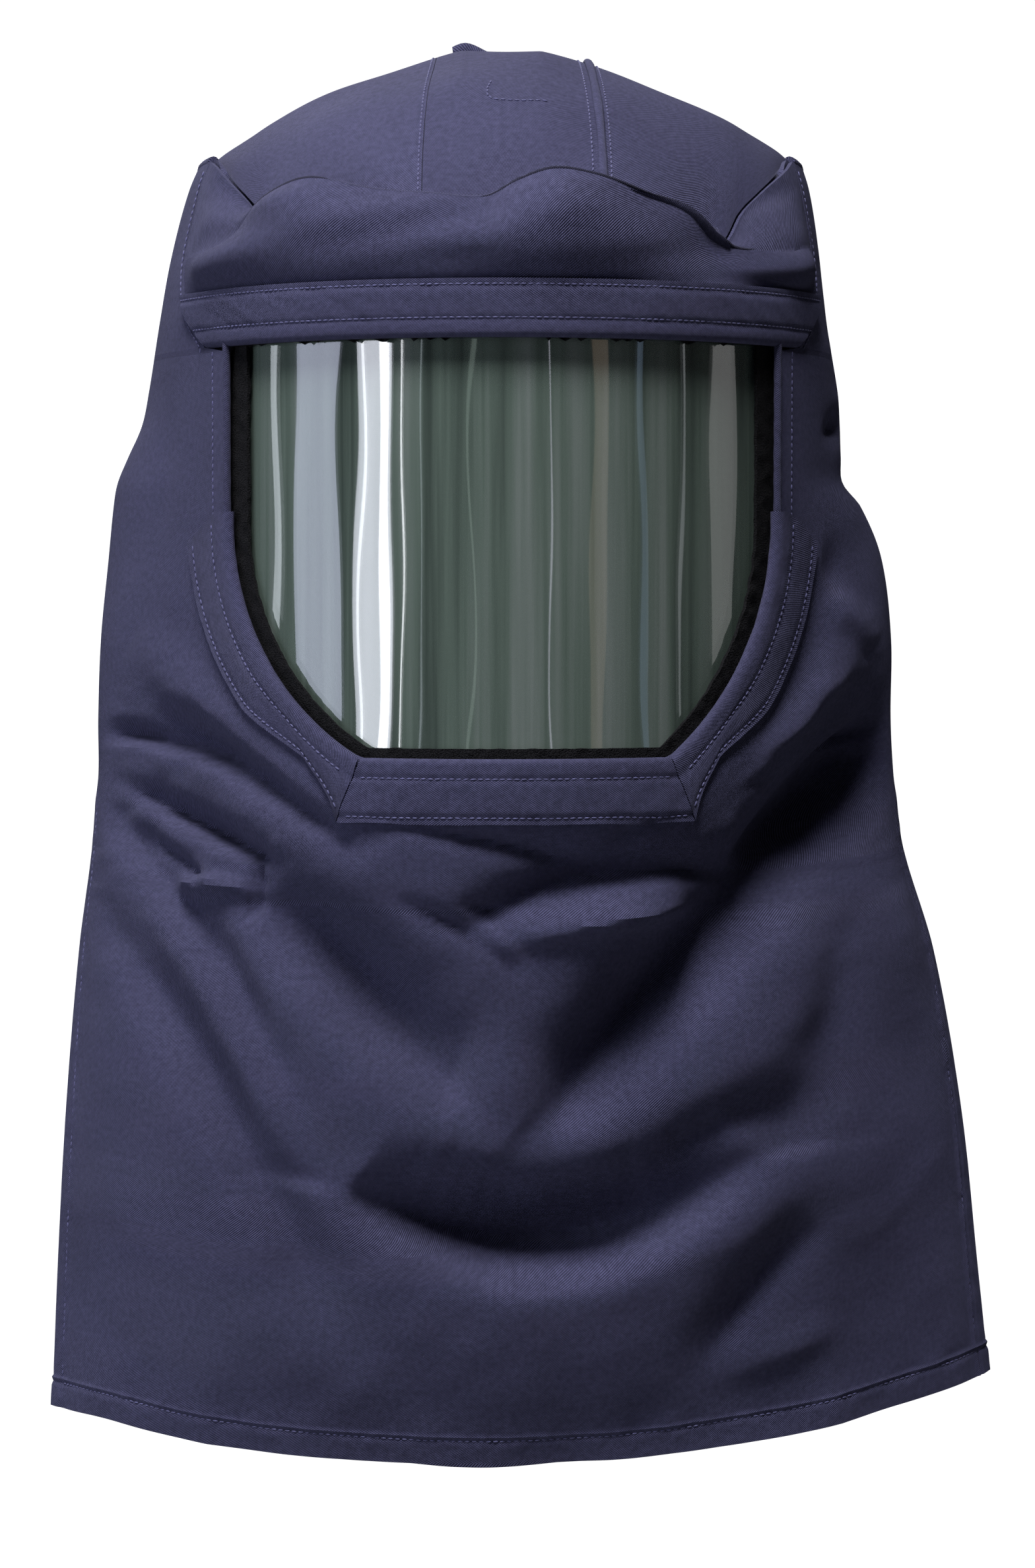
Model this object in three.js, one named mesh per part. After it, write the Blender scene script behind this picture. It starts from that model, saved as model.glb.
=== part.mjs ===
// An arc flash hood: a soft cloth hood with a curved see-through face shield, worn over the head
// and shoulders. Units are millimetres. +Z is up, -Y is the wearer's front, and the origin is the
// point inside the crown where the hood sits on the head.
//
// The cloth walls are sheets with a thickness, lofted through the sections in the tables below.
// A front bib and a back bib hang free of each other under the side vents.
import * as THREE from "three";

const { abs, asin, cos, exp, hypot, max, min, PI, sign, sin, sqrt } = Math;

// Body sizes
const hoodHeight = 675; // origin down to the lowest point of the front hem
const shoulderHalfWidth = 203.5; // axis out to the side seam just over the vents
const frontReach = 190; // axis forward to the cloth round the window
const backReach = 150; // axis back to the rear wall
const ventDrop = 355; // origin down to where the front and back bibs part
const rimDrop = 55; // origin down to the corners of the crown
const clothThickness = 2.4;
const seamGap = 0.3; // between two sewn edges
const sideSeamGap = 0.6; // between the front and back panels
const restGap = 0.6; // between a strip and the curved cloth that it lies on

// Window and shield sizes
const windowDrop = 147; // origin down to the window's top edge
const windowWidth = 256;
const windowHeight = 192;
const windowStraight = 84; // length of the upright side edges, above the round corners
const rightCornerRadius = 124; // of the round lower corner at the wearer's right
const leftCornerRadius = 140;
const lipRadius = 2.6; // rolled edge round the window
const bindingThickness = 1.3;
const topBindingWidth = 20;
const sideBindingWidth = 15;
const bottomBindingWidth = 23;
const bindingLead = 6; // the lower strips start this far above the round corners
const tapeThickness = 1.6; // hook and loop tape between the cloth and the shield
const tapeInset = 5; // how far the tape shows inside the window
const tapeOverlap = 12; // how far the tape runs under the cloth
const shieldThickness = 2;
const shieldOverlap = 13; // how far the shield runs under the cloth

// Brow and crown sizes
const browBulge = 13; // how far the loose cloth over the window stands forward
const browLift = 3; // how far the crest rolls back over the crown
const browSetBack = 7; // how far behind the front the crown seam lies
const crownArch = 55; // height of the crown's ridge over its corners
const rearDip = 18; // how much lower the rear seam lies at the back of the head
const stripFrontWidth = 85; // centre strip of the crown, at its front seam
const stripTopWidth = 70; // centre strip of the crown, at the ridge and the rear
const stripShift = 5; // how far the centre strip lies to the wearer's left of the axis
const rearFoldWidth = 60; // upright fold where the crown meets the back
const rearFoldHeight = 26;
const rearFoldThickness = 5;

// Hem sizes
const hemWidth = 16;
const sideHemWidth = 10;
const hemThickness = 1.2;
const sideHemStop = 4; // the side hems end this far over the front hem
const hemSweep = 28; // how much higher the front hem lies at the wearer's left edge
const backHemLift = 25; // how much shorter the back bib is than the front one
const backHemRise = 20; // how much higher the back hem lies at its corners

// Fold sizes
const foldDepth = 22.5; // the unit of the fold table's rise column
const foldWidth = 100; // the unit of the fold table's width column
const foldMargin = 28; // the cloth lies smooth up to here round the window
const foldFade = 18; // and the folds reach their full depth this much further out

const degree = PI / 180;
const clamp = (value, low, high) => min(max(value, low), high);
const smooth = (low, high, value) => {
  const share = clamp((value - low) / (high - low), 0, 1);
  return share * share * (3 - 2 * share);
};
const mix = (a, b, share) => a + (b - a) * share;

// Rows of numbers under named columns, as objects
const table = (columns, rows) =>
  rows.map((row) => Object.fromEntries(columns.map((name, i) => [name, row[i]])));

// Reads every column of a table at one value of its first column, along a smooth curve.
function readTable(rows, key, at) {
  const last = rows.length - 1;
  const place = clamp(at, rows[0][key], rows[last][key]);
  let i = 0;
  while (i < last - 1 && rows[i + 1][key] < place) i++;
  const [before, a, b, after] = [rows[max(i - 1, 0)], rows[i], rows[i + 1], rows[min(i + 2, last)]];
  const span = b[key] - a[key];
  const u = (place - a[key]) / span;
  const read = {};
  for (const name of Object.keys(a)) {
    const rise = b[name] - a[name];
    const bendA = ((b[name] - before[name]) / (b[key] - before[key])) * span - rise;
    const bendB = ((after[name] - a[name]) / (after[key] - a[key])) * span - rise;
    read[name] = a[name] + u * rise + u * (1 - u) * ((1 - u) * bendA - u * bendB);
  }
  return read;
}

// The body's sections. drop is a share of hoodHeight. right, left and core are shares of
// shoulderHalfWidth: core is the even oval that the shield follows, right and left the outline on
// the wearer's two sides.
// front and frontEdge are shares of frontReach, back and backEdge of backReach. wrap is the share
// of a quarter turn from the middle of the section to its side edge.
const bodySections = table(
  ["drop", "right", "left", "core", "front", "frontEdge", "back", "backEdge", "wrap"],
  [
    [0.069, 0.725, 0.718, 0.715, 0.9, 0, 0.93, 0, 1],
    [0.097, 0.768, 0.748, 0.745, 0.94, 0, 0.96, 0, 1],
    [0.146, 0.812, 0.772, 0.78, 0.985, 0, 0.99, 0, 1],
    [0.194, 0.841, 0.79, 0.807, 1, 0, 1, 0, 1],
    [0.243, 0.868, 0.819, 0.811, 1, 0, 1, 0, 1],
    [0.268, 0.886, 0.825, 0.811, 1, 0, 0.99, 0, 1],
    [0.292, 0.922, 0.8275, 0.811, 1, 0, 0.98, 0, 1],
    [0.31, 0.947, 0.832, 0.811, 1, 0, 0.97, 0, 1],
    [0.327, 0.957, 0.878, 0.811, 1, 0, 0.96, 0, 1],
    [0.365, 0.97, 0.93, 0.811, 1, 0, 0.93, 0, 1],
    [0.424, 0.99, 0.955, 0.811, 1, 0, 0.9, 0, 1],
    [0.483, 0.998, 0.955, 0.811, 1, 0, 0.88, 0, 1],
    [0.523, 0.998, 0.962, 0.83, 1, 0, 0.88, 0.01, 1],
    [0.577, 1.006, 0.978, 0.9, 0.975, -0.045, 0.89, 0.08, 0.96],
    [0.654, 1.033, 1.049, 1, 0.93, -0.12, 0.93, 0.18, 0.87],
    [0.769, 1.06, 1.112, 1.06, 0.93, -0.19, 0.97, 0.27, 0.78],
    [0.884, 1.078, 1.15, 1.09, 0.88, -0.235, 0.96, 0.32, 0.73],
    [1, 1.092, 1.19, 1.11, 0.84, -0.26, 0.94, 0.35, 0.71],
  ],
);

// Folds of the front panel. Each runs on a curve from one point through a second to a third: the
// points are shares of shoulderHalfWidth across and of hoodHeight down. width and upperWidth are
// the fold's two flanks, as shares of foldWidth, and rise is its depth as a share of foldDepth.
const frontFolds = table(
  ["x1", "d1", "x2", "d2", "x3", "d3", "width", "upperWidth", "rise"],
  [
    // long diagonals from the right vent
    [-0.98, 0.56, -0.72, 0.63, -0.46, 0.72, 0.11, 0.14, -0.28],
    [-0.99, 0.64, -0.74, 0.74, -0.4, 0.86, 0.16, 0.17, -0.45],
    [-0.86, 0.6, -0.62, 0.69, -0.36, 0.78, 0.17, 0.2, 0.22],
    // broad valley that falls from the window's right corner to the middle
    [-0.48, 0.56, -0.3, 0.64, 0.02, 0.72, 0.22, 0.22, -0.6],
    // broad valley and ridge that fall from the left vent to the middle
    [0.93, 0.54, 0.52, 0.61, 0.1, 0.735, 0.23, 0.24, -0.85],
    [0.95, 0.6, 0.62, 0.68, 0.24, 0.75, 0.26, 0.24, 0.35],
    // the hollow over the chest, which curves up at its left end, with a ridge over and under it
    [-0.3, 0.845, 0.1, 0.86, 0.62, 0.79, 0.16, 0.33, -1.25],
    [-0.34, 0.755, 0.02, 0.765, 0.32, 0.775, 0.24, 0.22, 0.45],
    [-0.22, 0.9, 0.2, 0.915, 0.66, 0.84, 0.2, 0.16, 0.5],
    // short folds under the window
    [-0.24, 0.562, 0.02, 0.575, 0.26, 0.582, 0.07, 0.1, -0.35],
    [-0.05, 0.62, 0.2, 0.605, 0.5, 0.59, 0.07, 0.13, -0.65],
    // the crumpled fold at the right vent, and the swag over it
    [-0.93, 0.545, -0.72, 0.57, -0.58, 0.58, 0.08, 0.12, -0.7],
    [-0.86, 0.49, -0.62, 0.515, -0.4, 0.555, 0.12, 0.18, -0.5],
    [-0.86, 0.43, -0.72, 0.46, -0.5, 0.5, 0.18, 0.18, 0.35],
    // the left side, beside the window and down to the vent
    [0.86, 0.275, 0.8, 0.29, 0.72, 0.32, 0.07, 0.12, -0.35],
    [0.72, 0.35, 0.82, 0.375, 0.9, 0.37, 0.14, 0.14, -0.3],
    [0.92, 0.485, 0.78, 0.5, 0.56, 0.53, 0.14, 0.22, -0.6],
    [0.88, 0.42, 0.76, 0.45, 0.56, 0.5, 0.2, 0.2, 0.3],
    // lower left
    [0.98, 0.66, 0.94, 0.72, 0.82, 0.79, 0.14, 0.16, -0.3],
    [0.76, 0.86, 0.66, 0.9, 0.56, 0.93, 0.16, 0.18, -0.35],
  ],
);

// The loose cloth over the window. along runs from the wearer's right to left corner, -1 to 1.
// seam and crest are drops as shares of windowDrop, and bulge is a share of browBulge.
const browStations = table(
  ["along", "seam", "crest", "bulge"],
  [
    [-1, 0.374, 0.7, 0],
    [-0.93, 0.405, 0.695, 0.25],
    [-0.857, 0.455, 0.69, 0.6],
    [-0.75, 0.54, 0.665, 0.8],
    [-0.67, 0.615, 0.605, 0.9],
    [-0.61, 0.61, 0.555, 1],
    [-0.55, 0.59, 0.515, 1],
    [-0.49, 0.575, 0.5, 1],
    [-0.42, 0.575, 0.51, 0.9],
    [-0.33, 0.585, 0.54, 0.8],
    [-0.19, 0.6, 0.565, 0.7],
    [-0.04, 0.61, 0.58, 0.75],
    [0.04, 0.605, 0.53, 1.1],
    [0.12, 0.59, 0.498, 1.3],
    [0.22, 0.595, 0.51, 0.95],
    [0.34, 0.605, 0.545, 0.45],
    [0.46, 0.635, 0.585, 0.1],
    [0.55, 0.69, 0.655, -0.1],
    [0.62, 0.67, 0.7, 0],
    [0.7, 0.57, 0.705, 0.3],
    [0.8, 0.49, 0.7, 0.7],
    [0.86, 0.45, 0.685, 0.7],
    [0.93, 0.41, 0.67, 0.4],
    [1, 0.374, 0.66, 0],
  ],
);

// Where the brow's side seams lie: side is the share of the section's half turn.
const browSeam = table(
  ["drop", "side"],
  [
    [0.3, 0.79],
    [0.55, 0.79],
    [0.72, 0.785],
    [0.88, 0.735],
    [1, 0.655],
  ],
);

const windowTop = -windowDrop;
const windowBottom = -windowDrop - windowHeight;
const windowBend = windowTop - windowStraight; // where the round corners begin
const rim = -rimDrop;
const bindingTop = windowTop + lipRadius * 2 + topBindingWidth;

// One section of the body, front or back, at height z. t runs from -1 at the wearer's right side
// seam to 1 at the left.
const sectionAt = (z) => readTable(bodySections, "drop", -z / hoodHeight);
const swellStart = 0.62;

function sectionPoint(t, z, facing) {
  const row = sectionAt(z);
  const turn = row.wrap * 90 * degree;
  const core = row.core * shoulderHalfWidth;
  const side = (t < 0 ? row.right : row.left) * shoulderHalfWidth;
  const middle = facing < 0 ? row.front * frontReach : row.back * backReach;
  const edge = facing < 0 ? -row.frontEdge * frontReach : row.backEdge * backReach;
  const round = (cos(turn * t) - cos(turn)) / (1 - cos(turn));
  const x = (core * sin(turn * t)) / sin(turn) + sign(t) * (side - core) * smooth(swellStart, 1, abs(t));
  return new THREE.Vector3(x, facing * mix(edge, middle, round), z);
}

// The t at which a section of the front reaches x
function tAt(x, z) {
  let [low, high] = [-1, 1];
  for (let i = 0; i < 26; i++) {
    const t = (low + high) / 2;
    if (sectionPoint(t, z, -1).x < x) low = t;
    else high = t;
  }
  return (low + high) / 2;
}

// The outward normal of any surface of two parameters. The second is a height in millimetres, or
// a share.
function normalOf(surface, a, b, stepB = 0.5) {
  const stepA = 1e-3;
  const across = surface(a + stepA, b).sub(surface(a - stepA, b));
  const up = surface(a, b + stepB).sub(surface(a, b - stepB));
  return across.cross(up).normalize();
}

// A spot on a surface, or that far above it, with the way that a wall there is thick
function spot(surface, a, b, height = 0, stepB = 0.5) {
  const normal = normalOf(surface, a, b, stepB);
  return { point: surface(a, b).addScaledVector(normal, height), normal };
}

const cornerRadius = (way) => (way < 0 ? rightCornerRadius : leftCornerRadius);

// How far the window's outline, grown outwards by grow, lies from the axis at height z: on the
// wearer's right side for a way of -1, and the left for 1
function windowHalfWidth(z, grow, way) {
  if (z >= windowBend) return windowWidth / 2 + grow;
  const across = (cornerRadius(way) + grow) ** 2 - (windowBend - z) ** 2;
  return windowWidth / 2 - cornerRadius(way) + sqrt(max(across, 0));
}

// How far a point of the front lies outside the window's outline, at least
function windowDistance(x, z) {
  const above = z - windowTop;
  const below = windowBottom - z;
  const radius = cornerRadius(x);
  const beside =
    z >= windowBend
      ? abs(x) - windowWidth / 2
      : hypot(abs(x) - windowWidth / 2 + radius, windowBend - z) - radius;
  return max(above, below, beside);
}

// The height of one fold at (x, z): a bell across its curve, which fades out at both ends
function foldHeight(fold, x, z) {
  const [u, v] = [shoulderHalfWidth, -hoodHeight];
  const steps = 10;
  let best = { gap: Infinity };
  for (let i = 0; i < steps; i++) {
    const [a, b] = [i / steps, (i + 1) / steps].map((s) => ({
      x: u * ((1 - s) ** 2 * fold.x1 + 2 * s * (1 - s) * fold.x2 + s * s * fold.x3),
      z: v * ((1 - s) ** 2 * fold.d1 + 2 * s * (1 - s) * fold.d2 + s * s * fold.d3),
    }));
    const [dx, dz] = [b.x - a.x, b.z - a.z];
    const share = clamp(((x - a.x) * dx + (z - a.z) * dz) / (dx * dx + dz * dz), 0, 1);
    const [offX, offZ] = [x - a.x - dx * share, z - a.z - dz * share];
    const gap = hypot(offX, offZ);
    if (gap < best.gap) best = { gap, along: (i + share) / steps, upper: offZ > 0 };
  }
  const width = (best.upper ? fold.upperWidth : fold.width) * foldWidth;
  const ends = sqrt(max(sin(PI * clamp(best.along * 0.86 + 0.07, 0, 1)), 0));
  return fold.rise * foldDepth * ends * exp(-((best.gap / width) ** 2));
}

const frontBase = (t, z) => sectionPoint(t, z, -1);
const backSurface = (t, z) => sectionPoint(-t, z, 1);

// The front with its folds. They fade out at the seams, and stay clear of the shield.
function frontSurface(t, z) {
  const point = frontBase(t, z);
  const height = frontFolds.reduce((sum, fold) => sum + foldHeight(fold, point.x, z), 0);
  const clear = smooth(foldMargin, foldMargin + foldFade, windowDistance(point.x, z));
  const seams = smooth(0.965, 0.85, abs(t)) * smooth(rim, rim - crownArch, z);
  return point.addScaledVector(normalOf(frontBase, t, z), height * clear * seams);
}

// The front hem is round, and its corner at the wearer's left is the higher. side is the share of
// the half width, and rise a share of hemSweep.
const hemCurve = table(
  ["side", "rise"],
  [
    [-1, 0.38],
    [-0.78, 0.43],
    [-0.6, 0.31],
    [-0.4, 0.15],
    [-0.1, 0],
    [0.16, 0.04],
    [0.32, 0.165],
    [0.5, 0.365],
    [0.67, 0.59],
    [0.84, 0.83],
    [1, 1],
  ],
);
const hemAt = (t) => -hoodHeight + hemSweep * readTable(hemCurve, "side", t).rise;
const backHemAt = (t) => -hoodHeight + backHemLift + backHemRise * t * t;

// Turns a grid of spots into a closed wall. The grid is the wall's outer face: its rows run
// downwards, and each runs from the wearer's right to left. A cell where keep is false stays open.
// A ring's last column joins its first.
function wall(grid, thickness, { keep = () => true, ring = false } = {}) {
  const columns = grid[0].length;
  const cells = [];
  for (let r = 0; r + 1 < grid.length; r++)
    for (let c = 0; c + (ring ? 0 : 1) < columns; c++) {
      const next = (c + 1) % columns;
      const [upper, lower] = [r * columns, (r + 1) * columns];
      if (keep(r, c)) cells.push([upper + c, lower + c, lower + next, upper + next]);
    }
  const outer = grid.flat().map((s) => s.point);
  const inner = grid.flat().map((s) => s.point.clone().addScaledVector(s.normal, -thickness));
  const count = outer.length;
  const faces = [];
  const edges = new Map();
  for (const cell of cells) {
    faces.push(...quad(...cell), ...quad(...cell.map((i) => i + count).reverse()));
    cell.forEach((i, n) => edges.set(`${i},${cell[(n + 1) % 4]}`, [i, cell[(n + 1) % 4]]));
  }
  for (const [a, b] of edges.values())
    if (!edges.has(`${b},${a}`)) faces.push(...quad(b, a, a + count, b + count));
  return solid([...outer, ...inner], faces);
}

const quad = (a, b, c, d) => [a, b, c, a, c, d];

// A geometry from points and triangles, without the points that no triangle uses
function solid(points, faces) {
  const used = new Map();
  const index = faces.map((i) => {
    if (!used.has(i)) used.set(i, used.size);
    return used.get(i);
  });
  const positions = [...used.keys()].flatMap((i) => points[i].toArray());
  const geometry = new THREE.BufferGeometry();
  geometry.setAttribute("position", new THREE.Float32BufferAttribute(positions, 3));
  geometry.setIndex(index);
  geometry.computeVertexNormals();
  return geometry;
}

// Even steps from one number to another, both included
const steps = (from, to, count) => Array.from({ length: count + 1 }, (_, i) => mix(from, to, i / count));

// The front panel: two legs beside the window, and the bib under it. Its columns follow the
// window's outline, and the cells of the middle columns start under the window.
const legColumns = 9;
const middleColumns = 12;
const quarterArc = (shoulderHalfWidth + frontReach) * 0.5 * 90 * degree;
const sideSlack = 1 - sideSeamGap / 2 / quarterArc;
const bindingGrow = lipRadius * 2 + restGap;

function frontPanel() {
  const seamSide = (z) => readTable(browSeam, "drop", -z / windowDrop).side;
  const rows = [
    ...steps(rim, windowTop, 8),
    ...steps(windowTop - 1.5, windowBend, 5).slice(0, -1),
    ...steps(windowBend, windowBottom - bindingGrow, 9),
  ];
  const bibRows = 19;
  const line = (z, grow) => {
    const inner = (way) => (z >= windowTop ? way * seamSide(z) : tAt(way * windowHalfWidth(z, grow, way), z));
    const [right, left] = [inner(-1), inner(1)];
    const leg = (end) => steps(0, 1, legColumns).map((share) => mix(sign(end), end, share ** 1.3));
    const middle = steps(right, left, middleColumns).slice(1, -1);
    return [...leg(right), ...middle, ...leg(left).reverse()].map((t) => t * sideSlack);
  };
  const grid = rows.map((z) =>
    line(z, z > windowBend ? lipRadius : bindingGrow).map((t) => spot(frontSurface, t, z)),
  );
  const start = rows.at(-1);
  const last = line(start, bindingGrow);
  for (const share of steps(0, 1, bibRows).slice(1))
    grid.push(last.map((t) => spot(frontSurface, t, mix(start, hemAt(t), share))));
  const legs = (r, c) => r >= rows.length - 1 || c < legColumns || c >= legColumns + middleColumns;
  return wall(grid, clothThickness, { keep: legs });
}

// The back panel, from the crown's rear seam to the back hem
function backPanel() {
  const ts = steps(-sideSlack, sideSlack, 16);
  const grid = steps(0, 1, 18).map((share) =>
    ts.map((t) => spot(backSurface, t, mix(rearRimAt(t), backHemAt(t), share))),
  );
  return wall(grid, clothThickness);
}

const rearRimAt = (t) => rim - rearDip * cos(t * 90 * degree);

// A point of the loose cloth over the window. u runs across, -1 to 1. level runs from 0 at the
// window's edge through 1 at the top of the binding, and 2 at the crest, to 3 at the crown seam.
function browPoint(u, level) {
  const row = readTable(browStations, "along", u);
  const [seam, crest] = [-row.seam * windowDrop, -row.crest * windowDrop];
  const foot = windowTop + bindingGrow;
  let z;
  let out = 0;
  if (level <= 1) z = mix(foot, bindingTop, level);
  else if (level <= 2) {
    const share = level - 1;
    z = mix(bindingTop, crest, share);
    out = row.bulge * browBulge * sin(PI * min(share * 0.88, 1)) ** 0.8;
  } else {
    const share = level - 2;
    z = mix(crest, seam, share) + browLift * sin(PI * share) * row.bulge;
    const top = row.bulge * browBulge * sin(PI * 0.88) ** 0.8;
    out = mix(top, -browSetBack * smooth(0.95, 0.7, abs(u)), smooth(0, 1, share));
  }
  const side = readTable(browSeam, "drop", -z / windowDrop).side - (2 * sideSeamGap) / quarterArc;
  return spot(frontBase, u * side, z, out).point;
}

const browColumns = 30;

function browPanel() {
  const us = steps(-1, 1, browColumns);
  const levels = [0, 0.5, 1, 1.25, 1.5, 1.75, 2, 2.35, 2.7, 3];
  const grid = levels.reverse().map((level) => us.map((u) => spot(browPoint, u, level, 0, 1e-3)));
  return wall(grid, clothThickness);
}

// The crown's surface: a dome over the rim. u runs across and s from the front seam to the rear.
const cornerSide = readTable(browSeam, "drop", rimDrop / windowDrop).side;
const crownInset = clothThickness + seamGap + 0.4;
const cornerInset = clothThickness; // the four corners of the crown lie further in
const crownFlat = 0.1; // the ridge is level out to this share of the half width
const crownFoot = 0.93; // and down at the rim from here on

function crownPoint(u, s) {
  const inward = (point, normal, t) => {
    const inset = crownInset + cornerInset * smooth(0.15, 0, abs(abs(t) - cornerSide));
    return point.addScaledVector(normal.setZ(0).normalize(), -inset);
  };
  const frontRim = (v) => {
    const t = v * cornerSide;
    return inward(browPoint(v, 3), normalOf(frontBase, t, rim), t);
  };
  const backRim = (t) => inward(backSurface(t, rearRimAt(t)), normalOf(backSurface, t, rim), t);
  const sideRim = (way) => {
    const share = 2 * s - 1;
    const t = way * mix(1, cornerSide, abs(share));
    return share < 0 ? inward(frontBase(t, rim), normalOf(frontBase, t, rim), t) : backRim(-t);
  };
  const [front, rear] = [frontRim(u), backRim(-u * cornerSide)];
  const [right, left] = [sideRim(-1), sideRim(1)];
  const [frontRight, frontLeft, rearRight, rearLeft] = [
    frontRim(-1), frontRim(1), backRim(cornerSide), backRim(-cornerSide),
  ];
  const across = (1 + u) / 2;
  const point = front.clone().lerp(rear, s).add(right.lerp(left, across));
  point.sub(frontRight.lerp(frontLeft, across).lerp(rearRight.lerp(rearLeft, across), s));
  const fall = clamp((abs(u) - crownFlat) / (crownFoot - crownFlat), 0, 1) ** 1.1;
  const ridge = rim + crownArch * (1 - fall) + clothThickness;
  point.z = mix(point.z, ridge, 1 - abs(2 * s - 1) ** 2.1);
  return point;
}

const crownHalfWidth = frontBase(cornerSide, rim).x;
const stripEdge = (way) => (s) => {
  const width = mix(stripFrontWidth, stripTopWidth, smooth(0, 0.45, s));
  // Places on the crown run evenly by the angle round its rim, not by the distance from the axis
  const corner = cornerSide * PI / 2;
  return asin((way * width / 2 + stripShift) * sin(corner) / crownHalfWidth) / corner;
};

function crownPanel(fromEdge, toEdge, columns) {
  const rows = 12;
  const slack = seamGap / 2 / crownHalfWidth;
  const grid = steps(1, 0, rows).map((s) =>
    steps(fromEdge(s) + slack, toEdge(s) - slack, columns).map((u) => spot(crownPoint, u, s, 0, 1e-3)),
  );
  return wall(grid, clothThickness);
}

// The upright fold of cloth at the rear of the crown: its foot follows the crown under it
function rearFold() {
  const s = 0.72;
  const lean = 2;
  const foot = restGap + 0.2;
  const us = steps(-0.13, -0.13 + rearFoldWidth / crownHalfWidth, 6);
  const points = [];
  for (const u of us) {
    const share = (u - us[0]) / (us.at(-1) - us[0]);
    const tall = rearFoldHeight * mix(1, 0.35, share);
    const corners = [[0, 0], [rearFoldThickness, 0], [rearFoldThickness + lean, tall], [lean, tall]];
    for (const [back, up] of corners) {
      const ground = crownPoint(u, s + back / (frontReach + backReach));
      points.push(ground.add(new THREE.Vector3(0, 0, foot + up)));
    }
  }
  const faces = [];
  for (let i = 0; i + 1 < us.length; i++)
    for (const k of [0, 1, 2, 3]) {
      const [a, b] = [i * 4 + k, i * 4 + ((k + 1) % 4)];
      faces.push(...quad(a, b, b + 4, a + 4));
    }
  const end = (us.length - 1) * 4;
  faces.push(...quad(3, 2, 1, 0), ...quad(end, end + 1, end + 2, end + 3));
  return solid(points, faces);
}

// Strips sewn flat on the cloth round the window
const stripRise = restGap + bindingThickness;

function topBinding() {
  const grid = steps(bindingTop, windowTop + bindingGrow, 2).map((z) => {
    const side = readTable(browSeam, "drop", -z / windowDrop).side - (4 * sideSeamGap) / quarterArc;
    return steps(-side, side, browColumns).map((t) => spot(frontBase, t, z, stripRise));
  });
  return wall(grid, bindingThickness);
}

const lowerStart = windowBend + bindingLead;

// The mitre between a side strip and the bottom strip runs from the outline's corner outwards
const cornerX = (way) => windowHalfWidth(windowBottom - bindingGrow, bindingGrow, way);
const outerX = (way) => cornerX(way) + sideBindingWidth * 0.62;
const outerZ = windowBottom - bindingGrow - bottomBindingWidth;

function sideBinding(way) {
  const count = 14;
  const grid = steps(0, 1, 2).map((across) =>
    steps(0, 1, count).map((along) => {
      const inner = { z: mix(lowerStart, windowBottom - bindingGrow, along) };
      inner.x = windowHalfWidth(inner.z, bindingGrow, way);
      const outer = { z: mix(lowerStart + bindingLead / 2, outerZ, along) };
      const roundX = windowHalfWidth(max(outer.z, windowBottom), bindingGrow + sideBindingWidth, way);
      outer.x = mix(roundX, outerX(way), smooth(0.6, 1, along));
      const x = mix(inner.x, outer.x, across) + seamGap;
      const z = mix(inner.z, outer.z, across);
      return spot(frontSurface, tAt(way * x, z), z, stripRise);
    }),
  );
  const turned = grid[0].map((_, i) => grid.map((row) => row[i]));
  if (way < 0) turned.forEach((row) => row.reverse());
  return wall(turned, bindingThickness);
}

function bottomBinding() {
  const grid = steps(0, 1, 3).map((down) => {
    const z = mix(windowBottom - bindingGrow, outerZ, down);
    const [right, left] = [-1, 1].map((way) => way * (mix(cornerX(way), outerX(way), down) - seamGap));
    return steps(right, left, 12).map((x) => spot(frontSurface, tAt(x, z), z, stripRise));
  });
  return wall(grid, bindingThickness);
}

// A round edge along a list of points
function lip(points, segments) {
  const sides = 6;
  const section = new THREE.Shape(
    steps(0, 360, sides).slice(0, -1).map((angle) =>
      new THREE.Vector2(lipRadius * cos(angle * degree), lipRadius * sin(angle * degree))),
  );
  const path = new THREE.CatmullRomCurve3(points, false, "centripetal");
  return new THREE.ExtrudeGeometry(section, { steps: segments, extrudePath: path });
}

const lipSeat = -clothThickness / 2; // the lip is centred on the cloth's thickness

function topLip() {
  const z = windowTop + lipRadius;
  const half = windowWidth / 2 - lipRadius;
  return lip(steps(-half, half, 16).map((x) => spot(frontBase, tAt(x, z), z, lipSeat).point), 24);
}

function lowerLip() {
  const grow = lipRadius - seamGap;
  const endX = (way) => way * (windowHalfWidth(windowBottom - grow, grow, way) - lipRadius);
  const down = steps(lowerStart, windowBottom - grow, 9).slice(0, -1);
  const side = (way) => down.map((z) => [way * windowHalfWidth(z, grow, way), z]);
  const bottom = steps(endX(-1), endX(1), 8).map((x) => [x, windowBottom - grow]);
  const route = [...side(-1), ...bottom, ...side(1).reverse()];
  return lip(route.map(([x, z]) => spot(frontSurface, tAt(x, z), z, lipSeat).point), 38);
}

// Behind the window, at a depth in from the cloth's outer face
const behindWindow = (t, z, depth) => spot(frontBase, t, z, -depth);
const across = (grow, z, count) => {
  const [right, left] = [-1, 1].map((way) => tAt(way * windowHalfWidth(z, grow, way), z));
  return steps(right, left, count);
};
const tapeDepth = lipRadius - lipSeat + restGap;
const shieldDepth = tapeDepth + tapeThickness + restGap + seamGap;

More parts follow.
